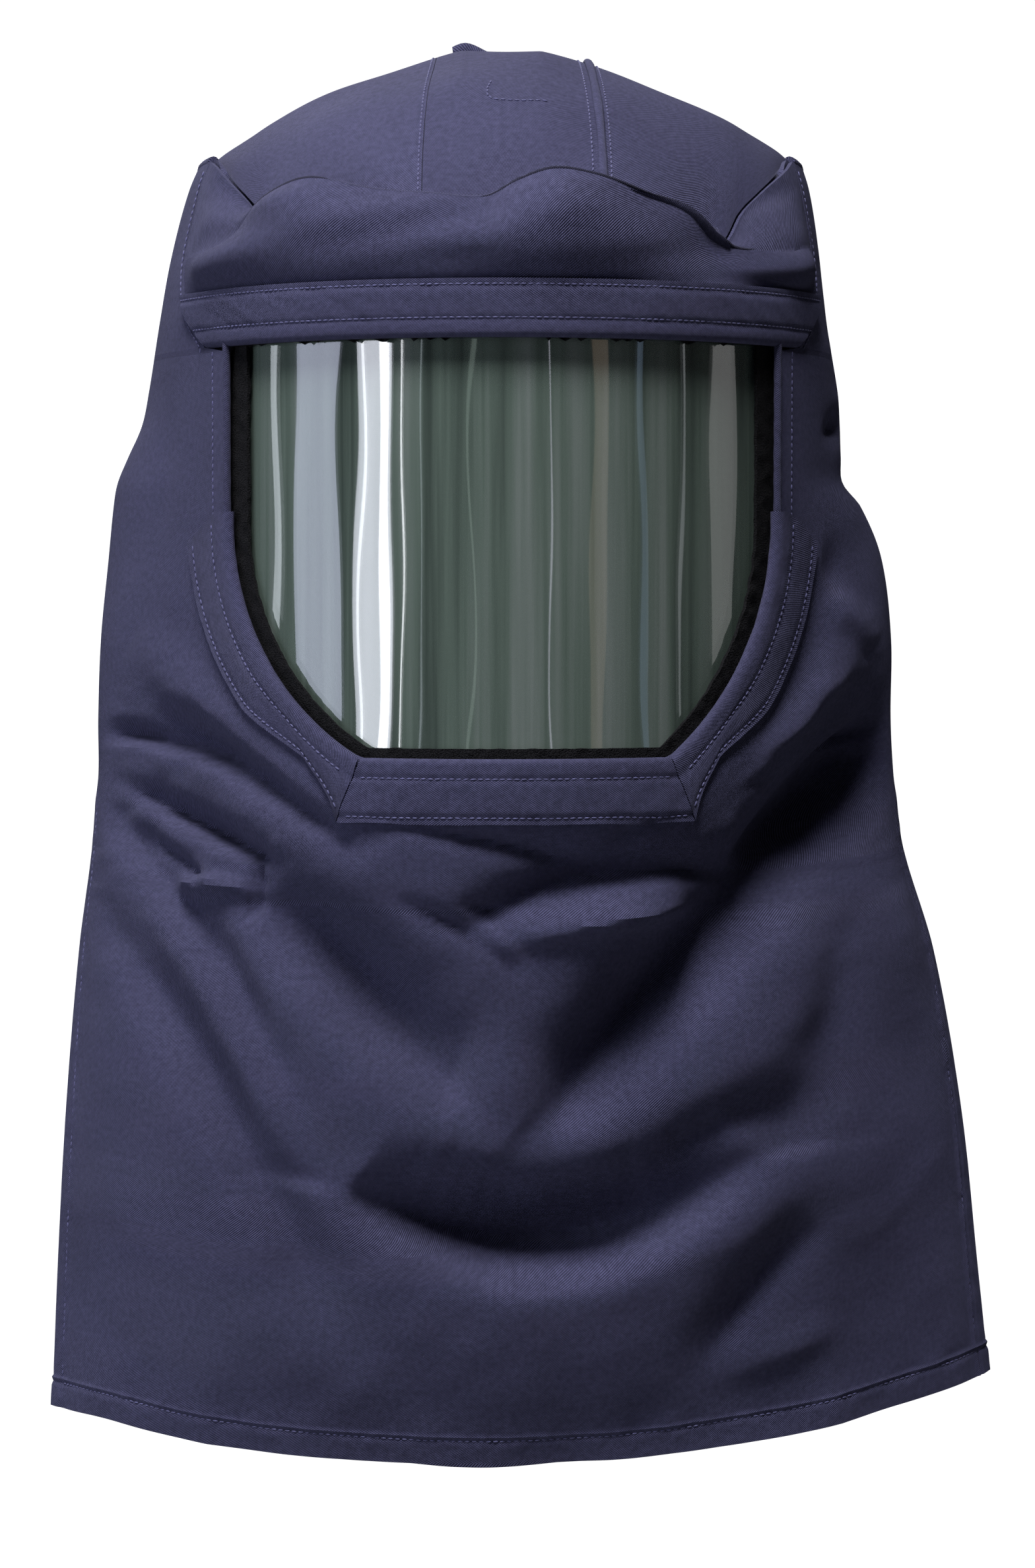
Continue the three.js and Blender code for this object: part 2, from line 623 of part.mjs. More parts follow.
// The tape is a closed ring along the window's outline
function tape() {
  const outline = (grow) => {
    const [top, bottom] = [windowTop + grow, windowBottom - grow];
    const edge = (way, z) => [tAt(way * windowHalfWidth(z, grow, way), z), z];
    const side = (way) => steps(top, bottom, 16).map((z) => edge(way, z));
    const under = across(grow, bottom, 12).slice(1, -1).reverse();
    const over = across(grow, top, 18).slice(1, -1);
    return [...side(1), ...under.map((t) => [t, bottom]), ...side(-1).reverse(), ...over.map((t) => [t, top])];
  };
  const grid = steps(tapeOverlap, -tapeInset, 2).map((grow) =>
    outline(grow).map(([t, z]) => behindWindow(t, z, tapeDepth)),
  );
  return wall(grid, tapeThickness, { ring: true });
}

function shield() {
  const grow = shieldOverlap;
  const rows = [
    ...steps(windowTop + grow, windowBend, 4).slice(0, -1),
    ...steps(windowBend, windowBottom - grow, 7),
  ];
  const grid = rows.map((z) =>
    across(grow, z, 18).map((t) => behindWindow(t, z, shieldDepth)),
  );
  return wall(grid, shieldThickness);
}

// Hems turned in behind the cloth's edge
const hemSeat = -clothThickness - restGap;

function hem(surface, bottomAt, columns) {
  const grid = [hemWidth, 1].map((up) =>
    steps(-0.98, 0.98, columns).map((t) => spot(surface, t, bottomAt(t) + up, hemSeat)),
  );
  return wall(grid, hemThickness);
}

function sideHem(way) {
  const top = -ventDrop - sideHemWidth;
  const edges = [1 - sideHemWidth / quarterArc, 1 - 2 / quarterArc].map((t) => way * t);
  if (way < 0) edges.reverse();
  const grid = steps(top, hemAt(way) + hemWidth + sideHemStop, 14).map((z) =>
    edges.map((t) => spot(frontSurface, t, z, hemSeat)),
  );
  return wall(grid, hemThickness);
}

// Materials
const finish = (color, roughness) => new THREE.MeshStandardMaterial({ color, roughness, metalness: 0 });
const navyTwill = finish(0x2b2b45, 0.92);
const crownTwill = finish(0x30304c, 0.92);
const navyLip = finish(0x33344f, 0.85);
const blackTape = finish(0x0d0d0f, 0.98);
const tintedShield = new THREE.MeshStandardMaterial({
  color: 0x6b7d6c,
  roughness: 0.06,
  metalness: 0,
  transparent: true,
  opacity: 0.4,
});

const hood = new THREE.Group();
function add(name, geometry, material) {
  const mesh = new THREE.Mesh(geometry, material);
  mesh.name = name;
  hood.add(mesh);
}

add("front_panel", frontPanel(), navyTwill);
add("back_panel", backPanel(), navyTwill);
add("brow_panel", browPanel(), navyTwill);
add("crown_center_strip", crownPanel(stripEdge(-1), stripEdge(1), 6), crownTwill);
add("crown_right_panel", crownPanel(() => -1, stripEdge(-1), 7), crownTwill);
add("crown_left_panel", crownPanel(stripEdge(1), () => 1, 7), crownTwill);
add("rear_crown_fold", rearFold(), crownTwill);
add("window_binding_top", topBinding(), navyTwill);
add("window_binding_right", sideBinding(-1), navyTwill);
add("window_binding_left", sideBinding(1), navyTwill);
add("window_binding_bottom", bottomBinding(), navyTwill);
add("window_lip_top", topLip(), navyLip);
add("window_lip_lower", lowerLip(), navyLip);
add("hook_and_loop_tape", tape(), blackTape);
add("face_shield", shield(), tintedShield);
add("front_hem", hem(frontSurface, hemAt, 26), navyTwill);
add("back_hem", hem(backSurface, backHemAt, 16), navyTwill);
add("front_side_hem_right", sideHem(-1), navyTwill);
add("front_side_hem_left", sideHem(1), navyTwill);

export default hood;
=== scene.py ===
from math import cos, pi, radians, sin, tau

import bpy
import numpy as np
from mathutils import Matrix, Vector


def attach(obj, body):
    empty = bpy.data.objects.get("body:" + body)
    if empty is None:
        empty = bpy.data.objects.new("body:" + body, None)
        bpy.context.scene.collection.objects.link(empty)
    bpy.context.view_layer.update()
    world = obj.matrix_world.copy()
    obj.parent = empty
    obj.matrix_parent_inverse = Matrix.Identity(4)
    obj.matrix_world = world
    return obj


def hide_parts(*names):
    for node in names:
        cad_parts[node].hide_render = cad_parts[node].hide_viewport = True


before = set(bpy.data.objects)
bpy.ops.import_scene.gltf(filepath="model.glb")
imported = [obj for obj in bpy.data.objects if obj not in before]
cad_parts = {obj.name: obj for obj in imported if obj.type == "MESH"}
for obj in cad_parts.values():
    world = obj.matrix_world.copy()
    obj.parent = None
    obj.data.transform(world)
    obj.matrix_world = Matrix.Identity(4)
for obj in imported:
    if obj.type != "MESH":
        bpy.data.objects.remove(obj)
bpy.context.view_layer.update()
print("frame loaded")

# All shapes below are worked out in millimetres, and become metres when a mesh is filled.
mm = 0.001

print("camera")
cameraView = {"place": (0.0072, -1.9875, -0.2556), "tilt": 3, "lens": 90.9}
bpy.ops.object.camera_add(location=cameraView["place"], rotation=(radians(90 - cameraView["tilt"]), 0, 0))
camera = bpy.context.object
camera.data.sensor_fit = "VERTICAL"
camera.data.sensor_height = 36
camera.data.lens = cameraView["lens"]
bpy.context.scene.camera = camera
bpy.context.scene.view_settings.view_transform = "Standard"


# Numbers along curves

def clip01(value):
    return np.clip(value, 0, 1)


def smooth(low, high, value):
    share = clip01((value - low) / (high - low))
    return share * share * (3 - 2 * share)


def mix(a, b, share):
    return a + (b - a) * share


def readAlong(rows, at):  # every column of a table, along a smooth curve of its first column
    rows = np.asarray(rows, float)
    keys = rows[:, 0]
    at = np.clip(np.asarray(at, float), keys[0], keys[-1])
    i = np.clip(np.searchsorted(keys, at) - 1, 0, len(keys) - 2)
    a, b = rows[i], rows[i + 1]
    before, after = rows[np.maximum(i - 1, 0)], rows[np.minimum(i + 2, len(keys) - 1)]
    span = (keys[i + 1] - keys[i])[..., None]
    u = (at - keys[i])[..., None] / span
    rise = b - a
    bendA = (b - before) / (b - before)[..., :1] * span - rise
    bendB = (after - a) / (after - a)[..., :1] * span - rise
    return a + u * rise + u * (1 - u) * ((1 - u) * bendA - u * bendB)


dice = np.random.default_rng(7)


def ripples(count, low, high, stretch=(1, 1)):  # soft noise made of waves, as a function of two lengths
    angle = dice.uniform(0, tau, count)
    length = dice.uniform(low, high, count)
    kx, ky = np.cos(angle) / length / stretch[0], np.sin(angle) / length / stretch[1]
    phase = dice.uniform(0, tau, count)

    def height(x, y):
        waves = np.sin(tau * (np.asarray(x)[..., None] * kx + np.asarray(y)[..., None] * ky) + phase)
        return waves.sum(-1) / np.sqrt(count / 2)

    return height


# The hood's body, with the same tables as the solids

body = {
    # Heights of the rim and the vents are counted from the middle of the crown, so they are below zero
    "height": 675, "halfWidth": 203.5, "front": 190, "back": 150, "rim": -55, "arch": 55,
    "cloth": 2.4, "rearDip": 18, "vents": -355,
    # drop, right, left, core, front, frontEdge, back, backEdge, wrap
    "sections": [
        (0.069, 0.725, 0.718, 0.715, 0.9, 0, 0.93, 0, 1),
        (0.097, 0.768, 0.748, 0.745, 0.94, 0, 0.96, 0, 1),
        (0.146, 0.812, 0.772, 0.78, 0.985, 0, 0.99, 0, 1),
        (0.194, 0.841, 0.79, 0.807, 1, 0, 1, 0, 1),
        (0.243, 0.868, 0.819, 0.811, 1, 0, 1, 0, 1),
        (0.268, 0.886, 0.825, 0.811, 1, 0, 0.99, 0, 1),
        (0.292, 0.922, 0.8275, 0.811, 1, 0, 0.98, 0, 1),
        (0.31, 0.947, 0.832, 0.811, 1, 0, 0.97, 0, 1),
        (0.327, 0.957, 0.878, 0.811, 1, 0, 0.96, 0, 1),
        (0.365, 0.97, 0.93, 0.811, 1, 0, 0.93, 0, 1),
        (0.424, 0.99, 0.955, 0.811, 1, 0, 0.9, 0, 1),
        (0.483, 0.998, 0.955, 0.811, 1, 0, 0.88, 0, 1),
        (0.523, 0.998, 0.962, 0.83, 1, 0, 0.88, 0.01, 1),
        (0.577, 1.006, 0.978, 0.9, 0.975, -0.045, 0.89, 0.08, 0.96),
        (0.654, 1.033, 1.049, 1, 0.93, -0.12, 0.93, 0.18, 0.87),
        (0.769, 1.06, 1.112, 1.06, 0.93, -0.19, 0.97, 0.27, 0.78),
        (0.884, 1.078, 1.15, 1.09, 0.88, -0.235, 0.96, 0.32, 0.73),
        (1, 1.092, 1.19, 1.11, 0.84, -0.26, 0.94, 0.35, 0.71),
    ],
}
window = {
    "top": -147, "height": 192, "halfWidth": 128, "straight": 84, "cornerRight": 124, "cornerLeft": 140,
    "lip": 2.6, "gap": 0.6, "inset": 5, "tapeReach": 12, "shieldReach": 13,
}
windowBottom = window["top"] - window["height"]
windowBend = window["top"] - window["straight"]
windowEdge = window["lip"] * 2 + window["gap"]
bindingTop = window["top"] + windowEdge - window["gap"] + 20


def sectionPoint(t, z, facing):  # t runs from -1 at the wearer's right side seam to 1 at the left
    t, z = np.broadcast_arrays(np.asarray(t, float), np.asarray(z, float))
    row = readAlong(body["sections"], -z / body["height"])
    turn = row[..., 8] * pi / 2
    core = row[..., 3] * body["halfWidth"]
    side = np.where(t < 0, row[..., 1], row[..., 2]) * body["halfWidth"]
    if facing < 0:
        middle, edge = row[..., 4] * body["front"], -row[..., 5] * body["front"]
    else:
        middle, edge = row[..., 6] * body["back"], row[..., 7] * body["back"]
    around = (np.cos(turn * t) - np.cos(turn)) / (1 - np.cos(turn))
    x = core * np.sin(turn * t) / np.sin(turn) + np.sign(t) * (side - core) * smooth(0.62, 1, np.abs(t))
    return np.stack([x, facing * mix(edge, middle, around), z], -1)


def frontBase(t, z):
    return sectionPoint(t, z, -1)


def backBase(t, z):
    return sectionPoint(-np.asarray(t, float), z, 1)


def unit(vectors):
    return vectors / np.linalg.norm(vectors, axis=-1, keepdims=True)


def normals(surface, a, b, stepB=0.5):
    across = surface(a + 1e-3, b) - surface(a - 1e-3, b)
    up = surface(a, b + stepB) - surface(a, b - stepB)
    return unit(np.cross(across, up))


def tAt(x, z):  # where a section of the front reaches x
    x, z = np.broadcast_arrays(np.asarray(x, float), np.asarray(z, float))
    low, high = np.full(x.shape, -1.0), np.full(x.shape, 1.0)
    for _ in range(24):
        t = (low + high) / 2
        under = frontBase(t, z)[..., 0] < x
        low, high = np.where(under, t, low), np.where(under, high, t)
    return (low + high) / 2


def windowHalf(z, grow, way):
    radius = np.where(way < 0, window["cornerRight"], window["cornerLeft"])
    drop = np.maximum(windowBend - z, 0)
    return window["halfWidth"] - radius + np.sqrt(np.maximum((radius + grow) ** 2 - drop**2, 0))


def windowDistance(x, z):
    radius = np.where(x < 0, window["cornerRight"], window["cornerLeft"])
    centre = window["halfWidth"] - radius
    roundCorner = np.hypot(np.abs(x) - centre, np.minimum(z - windowBend, 0)) - radius
    beside = np.where(z >= windowBend, np.abs(x) - window["halfWidth"], roundCorner)
    return np.maximum(np.maximum(z - window["top"], windowBottom - z), beside)


# Folds of the front panel

folds = {
    "depth": 22.5, "width": 100, "margin": 24, "fade": 14, "steps": 14,
    "broadWave": 0.9, "fineWave": 0.22, "crumple": 0.1, "ventCrumple": 0.75, "ventReach": 55, "ventFrom": 60,
    "ventTo": 150,
    # Three guide points of the fold's line, across and down, as shares of the half width and the height. Then
    # its lower and upper width, its rise, and how sharp it is, from 0 for a round fold to 1 for a crease.
    "rows": [
        # long diagonals from the right vent
        (-1.0, 0.535, -0.68, 0.635, -0.42, 0.78, 0.08, 0.17, -0.75, 0.25),
        (-1.0, 0.61, -0.7, 0.73, -0.36, 0.92, 0.1, 0.2, -0.85, 0.25),
        # broad valley that falls from the window's right corner to the middle
        (-0.7, 0.575, -0.33, 0.665, 0.02, 0.76, 0.16, 0.25, -1.3, 0.1),
        # broad valley that falls from the left vent to the middle
        (1.0, 0.49, 0.38, 0.655, 0.0, 0.785, 0.2, 0.23, -1.4, 0.1),
        (0.9, 0.63, 0.5, 0.73, 0.22, 0.8, 0.22, 0.16, 0.15, 0),
        # the hollow over the chest, which curves up at both ends
        (-0.36, 0.8, 0.1, 0.908, 0.6, 0.78, 0.1, 0.36, -2.2, 0.15),
        (-0.12, 0.72, 0.02, 0.735, 0.14, 0.745, 0.2, 0.2, 0.5, 0),
        (-0.1, 0.765, 0.1, 0.775, 0.3, 0.765, 0.2, 0.16, 0.3, 0),
        (0.36, 0.79, 0.52, 0.74, 0.72, 0.757, 0.09, 0.13, -0.3, 0.1),
        # the cloth turns under a little at the hem
        (-0.7, 1.0, 0.0, 1.02, 0.8, 0.98, 0.4, 0.5, -0.85, 0),
        # short folds under the window
        (-0.3, 0.54, 0.0, 0.56, 0.26, 0.582, 0.05, 0.08, -0.35, 0.6),
        (-0.08, 0.618, 0.2, 0.572, 0.58, 0.585, 0.05, 0.13, -0.85, 0.4),
        (0.26, 0.555, 0.4, 0.535, 0.56, 0.508, 0.05, 0.08, -0.4, 0.6),
        (-0.24, 0.598, -0.1, 0.618, 0.04, 0.648, 0.04, 0.06, -0.25, 0.5),
        (-0.1, 0.6, 0.0, 0.612, 0.08, 0.638, 0.03, 0.05, -0.2, 0.6),
        (-0.02, 0.63, 0.25, 0.602, 0.5, 0.61, 0.07, 0.05, 0.35, 0),
        # the crumpled fold at the right vent, and the swag over it
        (-0.92, 0.53, -0.72, 0.556, -0.56, 0.578, 0.04, 0.1, -0.85, 0.5),
        (-0.84, 0.475, -0.58, 0.52, -0.34, 0.565, 0.06, 0.14, -0.6, 0.5),
        (-1.0, 0.497, -0.88, 0.49, -0.66, 0.508, 0.03, 0.08, -0.6, 0.5),
        (-0.9, 0.43, -0.72, 0.46, -0.46, 0.5, 0.14, 0.16, 0.3, 0),
        (-0.82, 0.6, -0.7, 0.585, -0.58, 0.6, 0.05, 0.04, 0.4, 0),
        (-0.62, 0.57, -0.59, 0.592, -0.63, 0.618, 0.03, 0.03, -0.35, 0.5),
        (-0.88, 0.565, -0.8, 0.577, -0.7, 0.6, 0.03, 0.05, -0.3, 0.5),
        # the left side, beside the window and down to the vent
        (0.94, 0.258, 0.75, 0.275, 0.6, 0.3, 0.04, 0.08, -0.35, 0.6),
        (0.64, 0.34, 0.75, 0.355, 0.79, 0.395, 0.07, 0.1, -0.4, 0.5),
        (0.7, 0.38, 0.8, 0.4, 0.88, 0.43, 0.1, 0.1, 0.25, 0),
        (1.0, 0.495, 0.8, 0.535, 0.6, 0.575, 0.1, 0.2, -0.9, 0.4),
        (0.84, 0.43, 0.72, 0.465, 0.56, 0.51, 0.1, 0.12, 0.35, 0),
        (1.0, 0.482, 0.9, 0.493, 0.8, 0.51, 0.03, 0.05, -0.35, 0.6),
        # lower left
        (0.84, 0.59, 0.8, 0.68, 0.68, 0.78, 0.14, 0.14, -0.22, 0),
        (0.74, 0.83, 0.6, 0.875, 0.46, 0.93, 0.09, 0.14, -0.4, 0.15),
        (0.54, 0.935, 0.66, 0.925, 0.78, 0.905, 0.08, 0.1, 0.2, 0),
    ],
    "hem": [(-1, 0.38), (-0.78, 0.43), (-0.6, 0.31), (-0.4, 0.15), (-0.1, 0), (0.16, 0.04), (0.32, 0.165),
            (0.5, 0.365), (0.67, 0.59), (0.84, 0.83), (1, 1)],
    "hemSweep": 28,
}
waves = {"broad": ripples(14, 70, 150), "fine": ripples(18, 22, 50), "pucker": ripples(12, 8, 22),
         "crumple": ripples(16, 16, 38, (1.5, 0.7))}


def curveAt(a, b, c, share):
    return (1 - share) ** 2 * a + 2 * share * (1 - share) * b + share**2 * c


def foldHeight(fold, x, z):
    x1, drop1, x2, drop2, x3, drop3, lowerWidth, upperWidth, rise, sharpness = fold
    share = np.linspace(0, 1, folds["steps"] + 1)
    px = body["halfWidth"] * curveAt(x1, x2, x3, share)
    pz = -body["height"] * curveAt(drop1, drop2, drop3, share)
    best = np.full(x.shape, 1e9)
    along, upper = np.zeros(x.shape), np.zeros(x.shape)
    for i in range(folds["steps"]):
        dx, dz = px[i + 1] - px[i], pz[i + 1] - pz[i]
        s = clip01(((x - px[i]) * dx + (z - pz[i]) * dz) / (dx * dx + dz * dz))
        offX, offZ = x - px[i] - dx * s, z - pz[i] - dz * s
        gap = np.hypot(offX, offZ)
        near = gap < best
        best = np.where(near, gap, best)
        along = np.where(near, (i + s) / folds["steps"], along)
        upper = np.where(near, smooth(-4, 4, offZ), upper)
    width = mix(lowerWidth, upperWidth, upper) * folds["width"]
    ends = np.maximum(np.sin(pi * (along * 0.94 + 0.03)), 0) ** 0.8  # a fold runs out at both ends
    bell = np.exp(-((best / width) ** 2))
    crease = np.exp(-np.sqrt((best / width * 1.6) ** 2 + 0.02))
    return rise * folds["depth"] * ends * mix(bell, crease, sharpness)


def hemAt(t):
    return -body["height"] + folds["hemSweep"] * readAlong(folds["hem"], t)[..., 1]


def frontSurface(t, z):
    base = frontBase(t, z)
    x, z = base[..., 0], base[..., 2]
    height = sum(foldHeight(fold, x, z) for fold in folds["rows"])
    height = height + folds["broadWave"] * waves["broad"](x, z) + folds["fineWave"] * waves["fine"](x, z)
    vents = np.exp(-(((z - body["vents"]) / folds["ventReach"]) ** 2))
    vents = vents * smooth(folds["ventFrom"], folds["ventTo"], np.abs(x))
    crumple = folds["crumple"] + folds["ventCrumple"] * vents
    height = height + crumple * (np.abs(waves["crumple"](x, z)) - 0.8)
    clear = smooth(folds["margin"], folds["margin"] + folds["fade"], windowDistance(x, z))
    seams = smooth(0.965, 0.85, np.abs(t)) * smooth(body["rim"], body["rim"] - body["arch"], z)
    return base + normals(frontBase, t, z) * (height * clear * seams)[..., None]


# Mesh makers

def deselect():
    if bpy.context.object and bpy.context.object.mode != "OBJECT":
        bpy.ops.object.mode_set(mode="OBJECT")
    bpy.ops.object.select_all(action="DESELECT")


def applyModifier(piece, kind, **settings):
    modifier = piece.modifiers.new(kind.lower(), kind)
    for key, value in settings.items():
        setattr(modifier, key, value)
    bpy.context.view_layer.objects.active = piece
    bpy.ops.object.modifier_apply(modifier=modifier.name)


def movedGrid(name, points):
    # A grid is added as a primitive, and each of its points is then moved to points[row, column]
    rows, columns = points.shape[0] - 1, points.shape[1] - 1
    deselect()
    bpy.ops.mesh.primitive_grid_add(x_subdivisions=columns, y_subdivisions=rows, size=2)
    piece = bpy.context.object
    piece.name = piece.data.name = name
    mesh = piece.data
    flat = np.empty(len(mesh.vertices) * 3)
    mesh.vertices.foreach_get("co", flat)
    flat = flat.reshape(-1, 3)
    column = np.rint((flat[:, 0] + 1) / 2 * columns).astype(int)
    row = np.rint((1 - flat[:, 1]) / 2 * rows).astype(int)
    mesh.vertices.foreach_set("co", (points[row, column] * mm).ravel())
    # The weave's coordinates: lengths along the cloth, in metres
    across = np.linalg.norm(np.diff(points, axis=1), axis=-1)
    across = np.concatenate([np.zeros((rows + 1, 1)), np.cumsum(across, 1)], 1)
    across -= across[:, [columns // 2]]
    down = np.linalg.norm(np.diff(points, axis=0), axis=-1)
    down = np.concatenate([np.zeros((1, columns + 1)), np.cumsum(down, 0)], 0)
    down = down.mean(1, keepdims=True) + np.zeros_like(across)
    corner = np.empty(len(mesh.loops), int)
    mesh.loops.foreach_get("vertex_index", corner)
    weave = np.stack([across[row, column], -down[row, column]], -1) * mm
    mesh.uv_layers[0].data.foreach_set("uv", weave[corner].ravel())
    return piece, row, column


def clothSheet(name, columns, rows, shape, thickness=2.4, drop=None, node=None):
    # shape gives the points of rows and columns, from shares u and v that run 0 to 1 across and down
    points = shape(np.linspace(0, 1, columns + 1), np.linspace(0, 1, rows + 1))
    piece, row, column = movedGrid(name, points)
    mesh = piece.data
    if drop is not None:
        bpy.ops.object.mode_set(mode="EDIT")
        bpy.ops.mesh.select_mode(type="FACE")
        bpy.ops.mesh.select_all(action="DESELECT")
        bpy.ops.object.mode_set(mode="OBJECT")
        for face in mesh.polygons:
            c = min(column[i] for i in face.vertices)
            r = min(row[i] for i in face.vertices)
            face.select = bool(drop(c, r))
        bpy.ops.object.mode_set(mode="EDIT")
        bpy.ops.mesh.delete(type="FACE")
        bpy.ops.object.mode_set(mode="OBJECT")
    area = sum(face.area for face in mesh.polygons)
    applyModifier(piece, "SOLIDIFY", thickness=thickness * mm, offset=-1, use_quality_normals=True)
    bpy.ops.object.shade_smooth_by_angle(angle=radians(50))
    finishPiece(piece, node)
    print(name, "area", round(area, 4), "faces", len(mesh.polygons))
    return piece


def finishPiece(piece, node):
    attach(piece, "root")
    if node:
        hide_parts(*([node] if isinstance(node, str) else node))


def setMaterial(material, *pieces):
    for piece in pieces:
        piece.data.materials.clear()
        piece.data.materials.append(material)


def rollAlong(name, points, out, radiusAcross, radiusOut, sides=12, node=None):
    # A rolled edge: a grid wrapped round a path, then closed. out is the cloth's normal at each path point.
    points, out = np.asarray(points, float), np.asarray(out, float)
    ahead = unit(np.gradient(points, axis=0))
    across = unit(np.cross(out, ahead))
    out = np.cross(ahead, across)
    radiusAcross = np.broadcast_to(radiusAcross, len(points))
    radiusOut = np.broadcast_to(radiusOut, len(points))
    angle = np.linspace(0, tau, sides + 1)
    sideways = np.cos(angle)[None, :, None] * radiusAcross[:, None, None]
    outwards = np.sin(angle)[None, :, None] * radiusOut[:, None, None]
    piece, _, _ = movedGrid(name, points[:, None] + across[:, None] * sideways + out[:, None] * outwards)
    bpy.ops.object.mode_set(mode="EDIT")
    bpy.ops.mesh.select_all(action="SELECT")
    bpy.ops.mesh.remove_doubles(threshold=1e-6)
    bpy.ops.mesh.fill_holes(sides=0)
    bpy.ops.mesh.normals_make_consistent(inside=False)
    bpy.ops.object.mode_set(mode="OBJECT")
    bpy.ops.object.shade_smooth_by_angle(angle=radians(60))
    finishPiece(piece, node)
    return piece


print("threads")
thread = {"pitch": 3.3, "length": 2.6, "radius": 0.42, "scatter": 0.05, "lift": 0.08}
deselect()
bpy.ops.mesh.primitive_uv_sphere_add(segments=6, ring_count=4, radius=1)
stitchModel = bpy.context.object
stitchShape = np.array([v.co[:] for v in stitchModel.data.vertices])
stitchFaces = [tuple(f.vertices) for f in stitchModel.data.polygons]
bpy.data.objects.remove(stitchModel)


def resample(points, out, pitch):  # places, directions and normals at even steps along a line
    points, out = np.asarray(points, float), np.asarray(out, float)
    s = np.concatenate([[0], np.cumsum(np.linalg.norm(np.diff(points, axis=0), axis=1))])
    at = np.arange(pitch / 2, s[-1], pitch)

    def read(values, where):
        return np.stack([np.interp(where, s, values[:, k]) for k in range(3)], -1)

    return read(points, at), unit(read(points, at + 0.5) - read(points, at - 0.5)), unit(read(out, at))


def stitchRow(name, lines):
    # Copies of the one modelled stitch, joined in one mesh. lines holds the points and normals of each row.
    half, radius = thread["length"] / 2, thread["radius"]
    spots, faces = [], []
    for points, out in lines:
        place, ahead, normal = resample(points, out, thread["pitch"])
        across = np.cross(normal, ahead)
        for p, a, c, n in zip(place, ahead, across, normal):
            start = len(spots) * len(stitchShape)
            turn = dice.normal(0, thread["scatter"])
            a = a * cos(turn) + c * sin(turn)
            c = np.cross(n, a)
            shape = stitchShape @ np.stack([c * radius, n * radius, a * half])
            spots.append((p + n * thread["lift"] + shape) * mm)
            faces.extend(tuple(i + start for i in f) for f in stitchFaces)
    mesh = bpy.data.meshes.new(name)
    mesh.from_pydata(np.concatenate(spots).tolist(), [], faces)
    piece = bpy.data.objects.new(name, mesh)
    bpy.context.collection.objects.link(piece)
    for face in mesh.polygons:
        face.use_smooth = True
    deselect()
    piece.select_set(True)
    bpy.context.view_layer.objects.active = piece
    bpy.ops.object.mode_set(mode="EDIT")
    bpy.ops.mesh.select_all(action="SELECT")
    bpy.ops.mesh.normals_make_consistent(inside=False)
    bpy.ops.object.mode_set(mode="OBJECT")
    finishPiece(piece, None)
    return piece


def onSurface(surface, a, b, height=0.0, stepB=0.5):
    n = normals(surface, a, b, stepB)
    return surface(a, b) + n * height, n


print("front panel")
panel = {
    "legColumns": 76, "middleColumns": 72, "topRows": 30, "sideRows": 30, "cornerRows": 42, "bibRows": 126,
    "hemRows": 18, "seamGap": 0.6,
    "browSeam": [(0.3, 0.79), (0.55, 0.79), (0.72, 0.785), (0.88, 0.735), (1, 0.655)],
}
# How far from the edge a turned hem ends, how proud it stands, and where its stitches pull it in
hem = {"edge": 15, "slope": 1.2, "proud": 1, "stitch": 12, "dip": 0.9, "dipWidth": 1.1, "fineRows": 18,
       "pucker": 0.22, "sidePucker": 0.2, "puckerReach": 7, "ventFade": 14}
quarterArc = (body["halfWidth"] + body["front"]) * 0.25 * pi
sideSlack = 1 - panel["seamGap"] / 2 / quarterArc
panelRows = np.concatenate([
    np.linspace(body["rim"], window["top"], panel["topRows"] + 1)[:-1],
    np.linspace(window["top"], windowBend, panel["sideRows"] + 1)[:-1],
    np.linspace(windowBend, windowBottom - windowEdge, panel["cornerRows"] + 1),
])
windowRows = len(panelRows) - 1


def browSide(z):
    return readAlong(panel["browSeam"], -np.asarray(z) / -window["top"])[..., 1]


def panelLine(z):  # the columns of one row: leg, middle, leg
    z = np.asarray(z, float)
    grow = np.where(z > windowBend, window["lip"], windowEdge)
    ends = []
    for way in (-1, 1):
        onWindow = tAt(way * windowHalf(z, grow, way), z)
        ends.append(np.where(z >= window["top"], way * browSide(z), onWindow))
    legs = np.linspace(0, 1, panel["legColumns"] + 1) ** 1.3
    middle = np.linspace(0, 1, panel["middleColumns"] + 1)[1:-1]
    right, left = ends[0][:, None], ends[1][:, None]
    parts = [mix(-1, right, legs), mix(right, left, middle), mix(1, left, legs)[:, ::-1]]
    return np.concatenate(parts, 1) * sideSlack


def hemBand(depth):  # a turned hem stands a little proud, and dips at its stitches
    dip = np.exp(-(((depth - hem["stitch"]) / hem["dipWidth"]) ** 2))
    return hem["proud"] * smooth(hem["edge"], hem["edge"] - hem["slope"], depth) - hem["dip"] * dip


def hemPucker(depth):
    return np.exp(-(((depth - hem["stitch"]) / hem["puckerReach"]) ** 2))


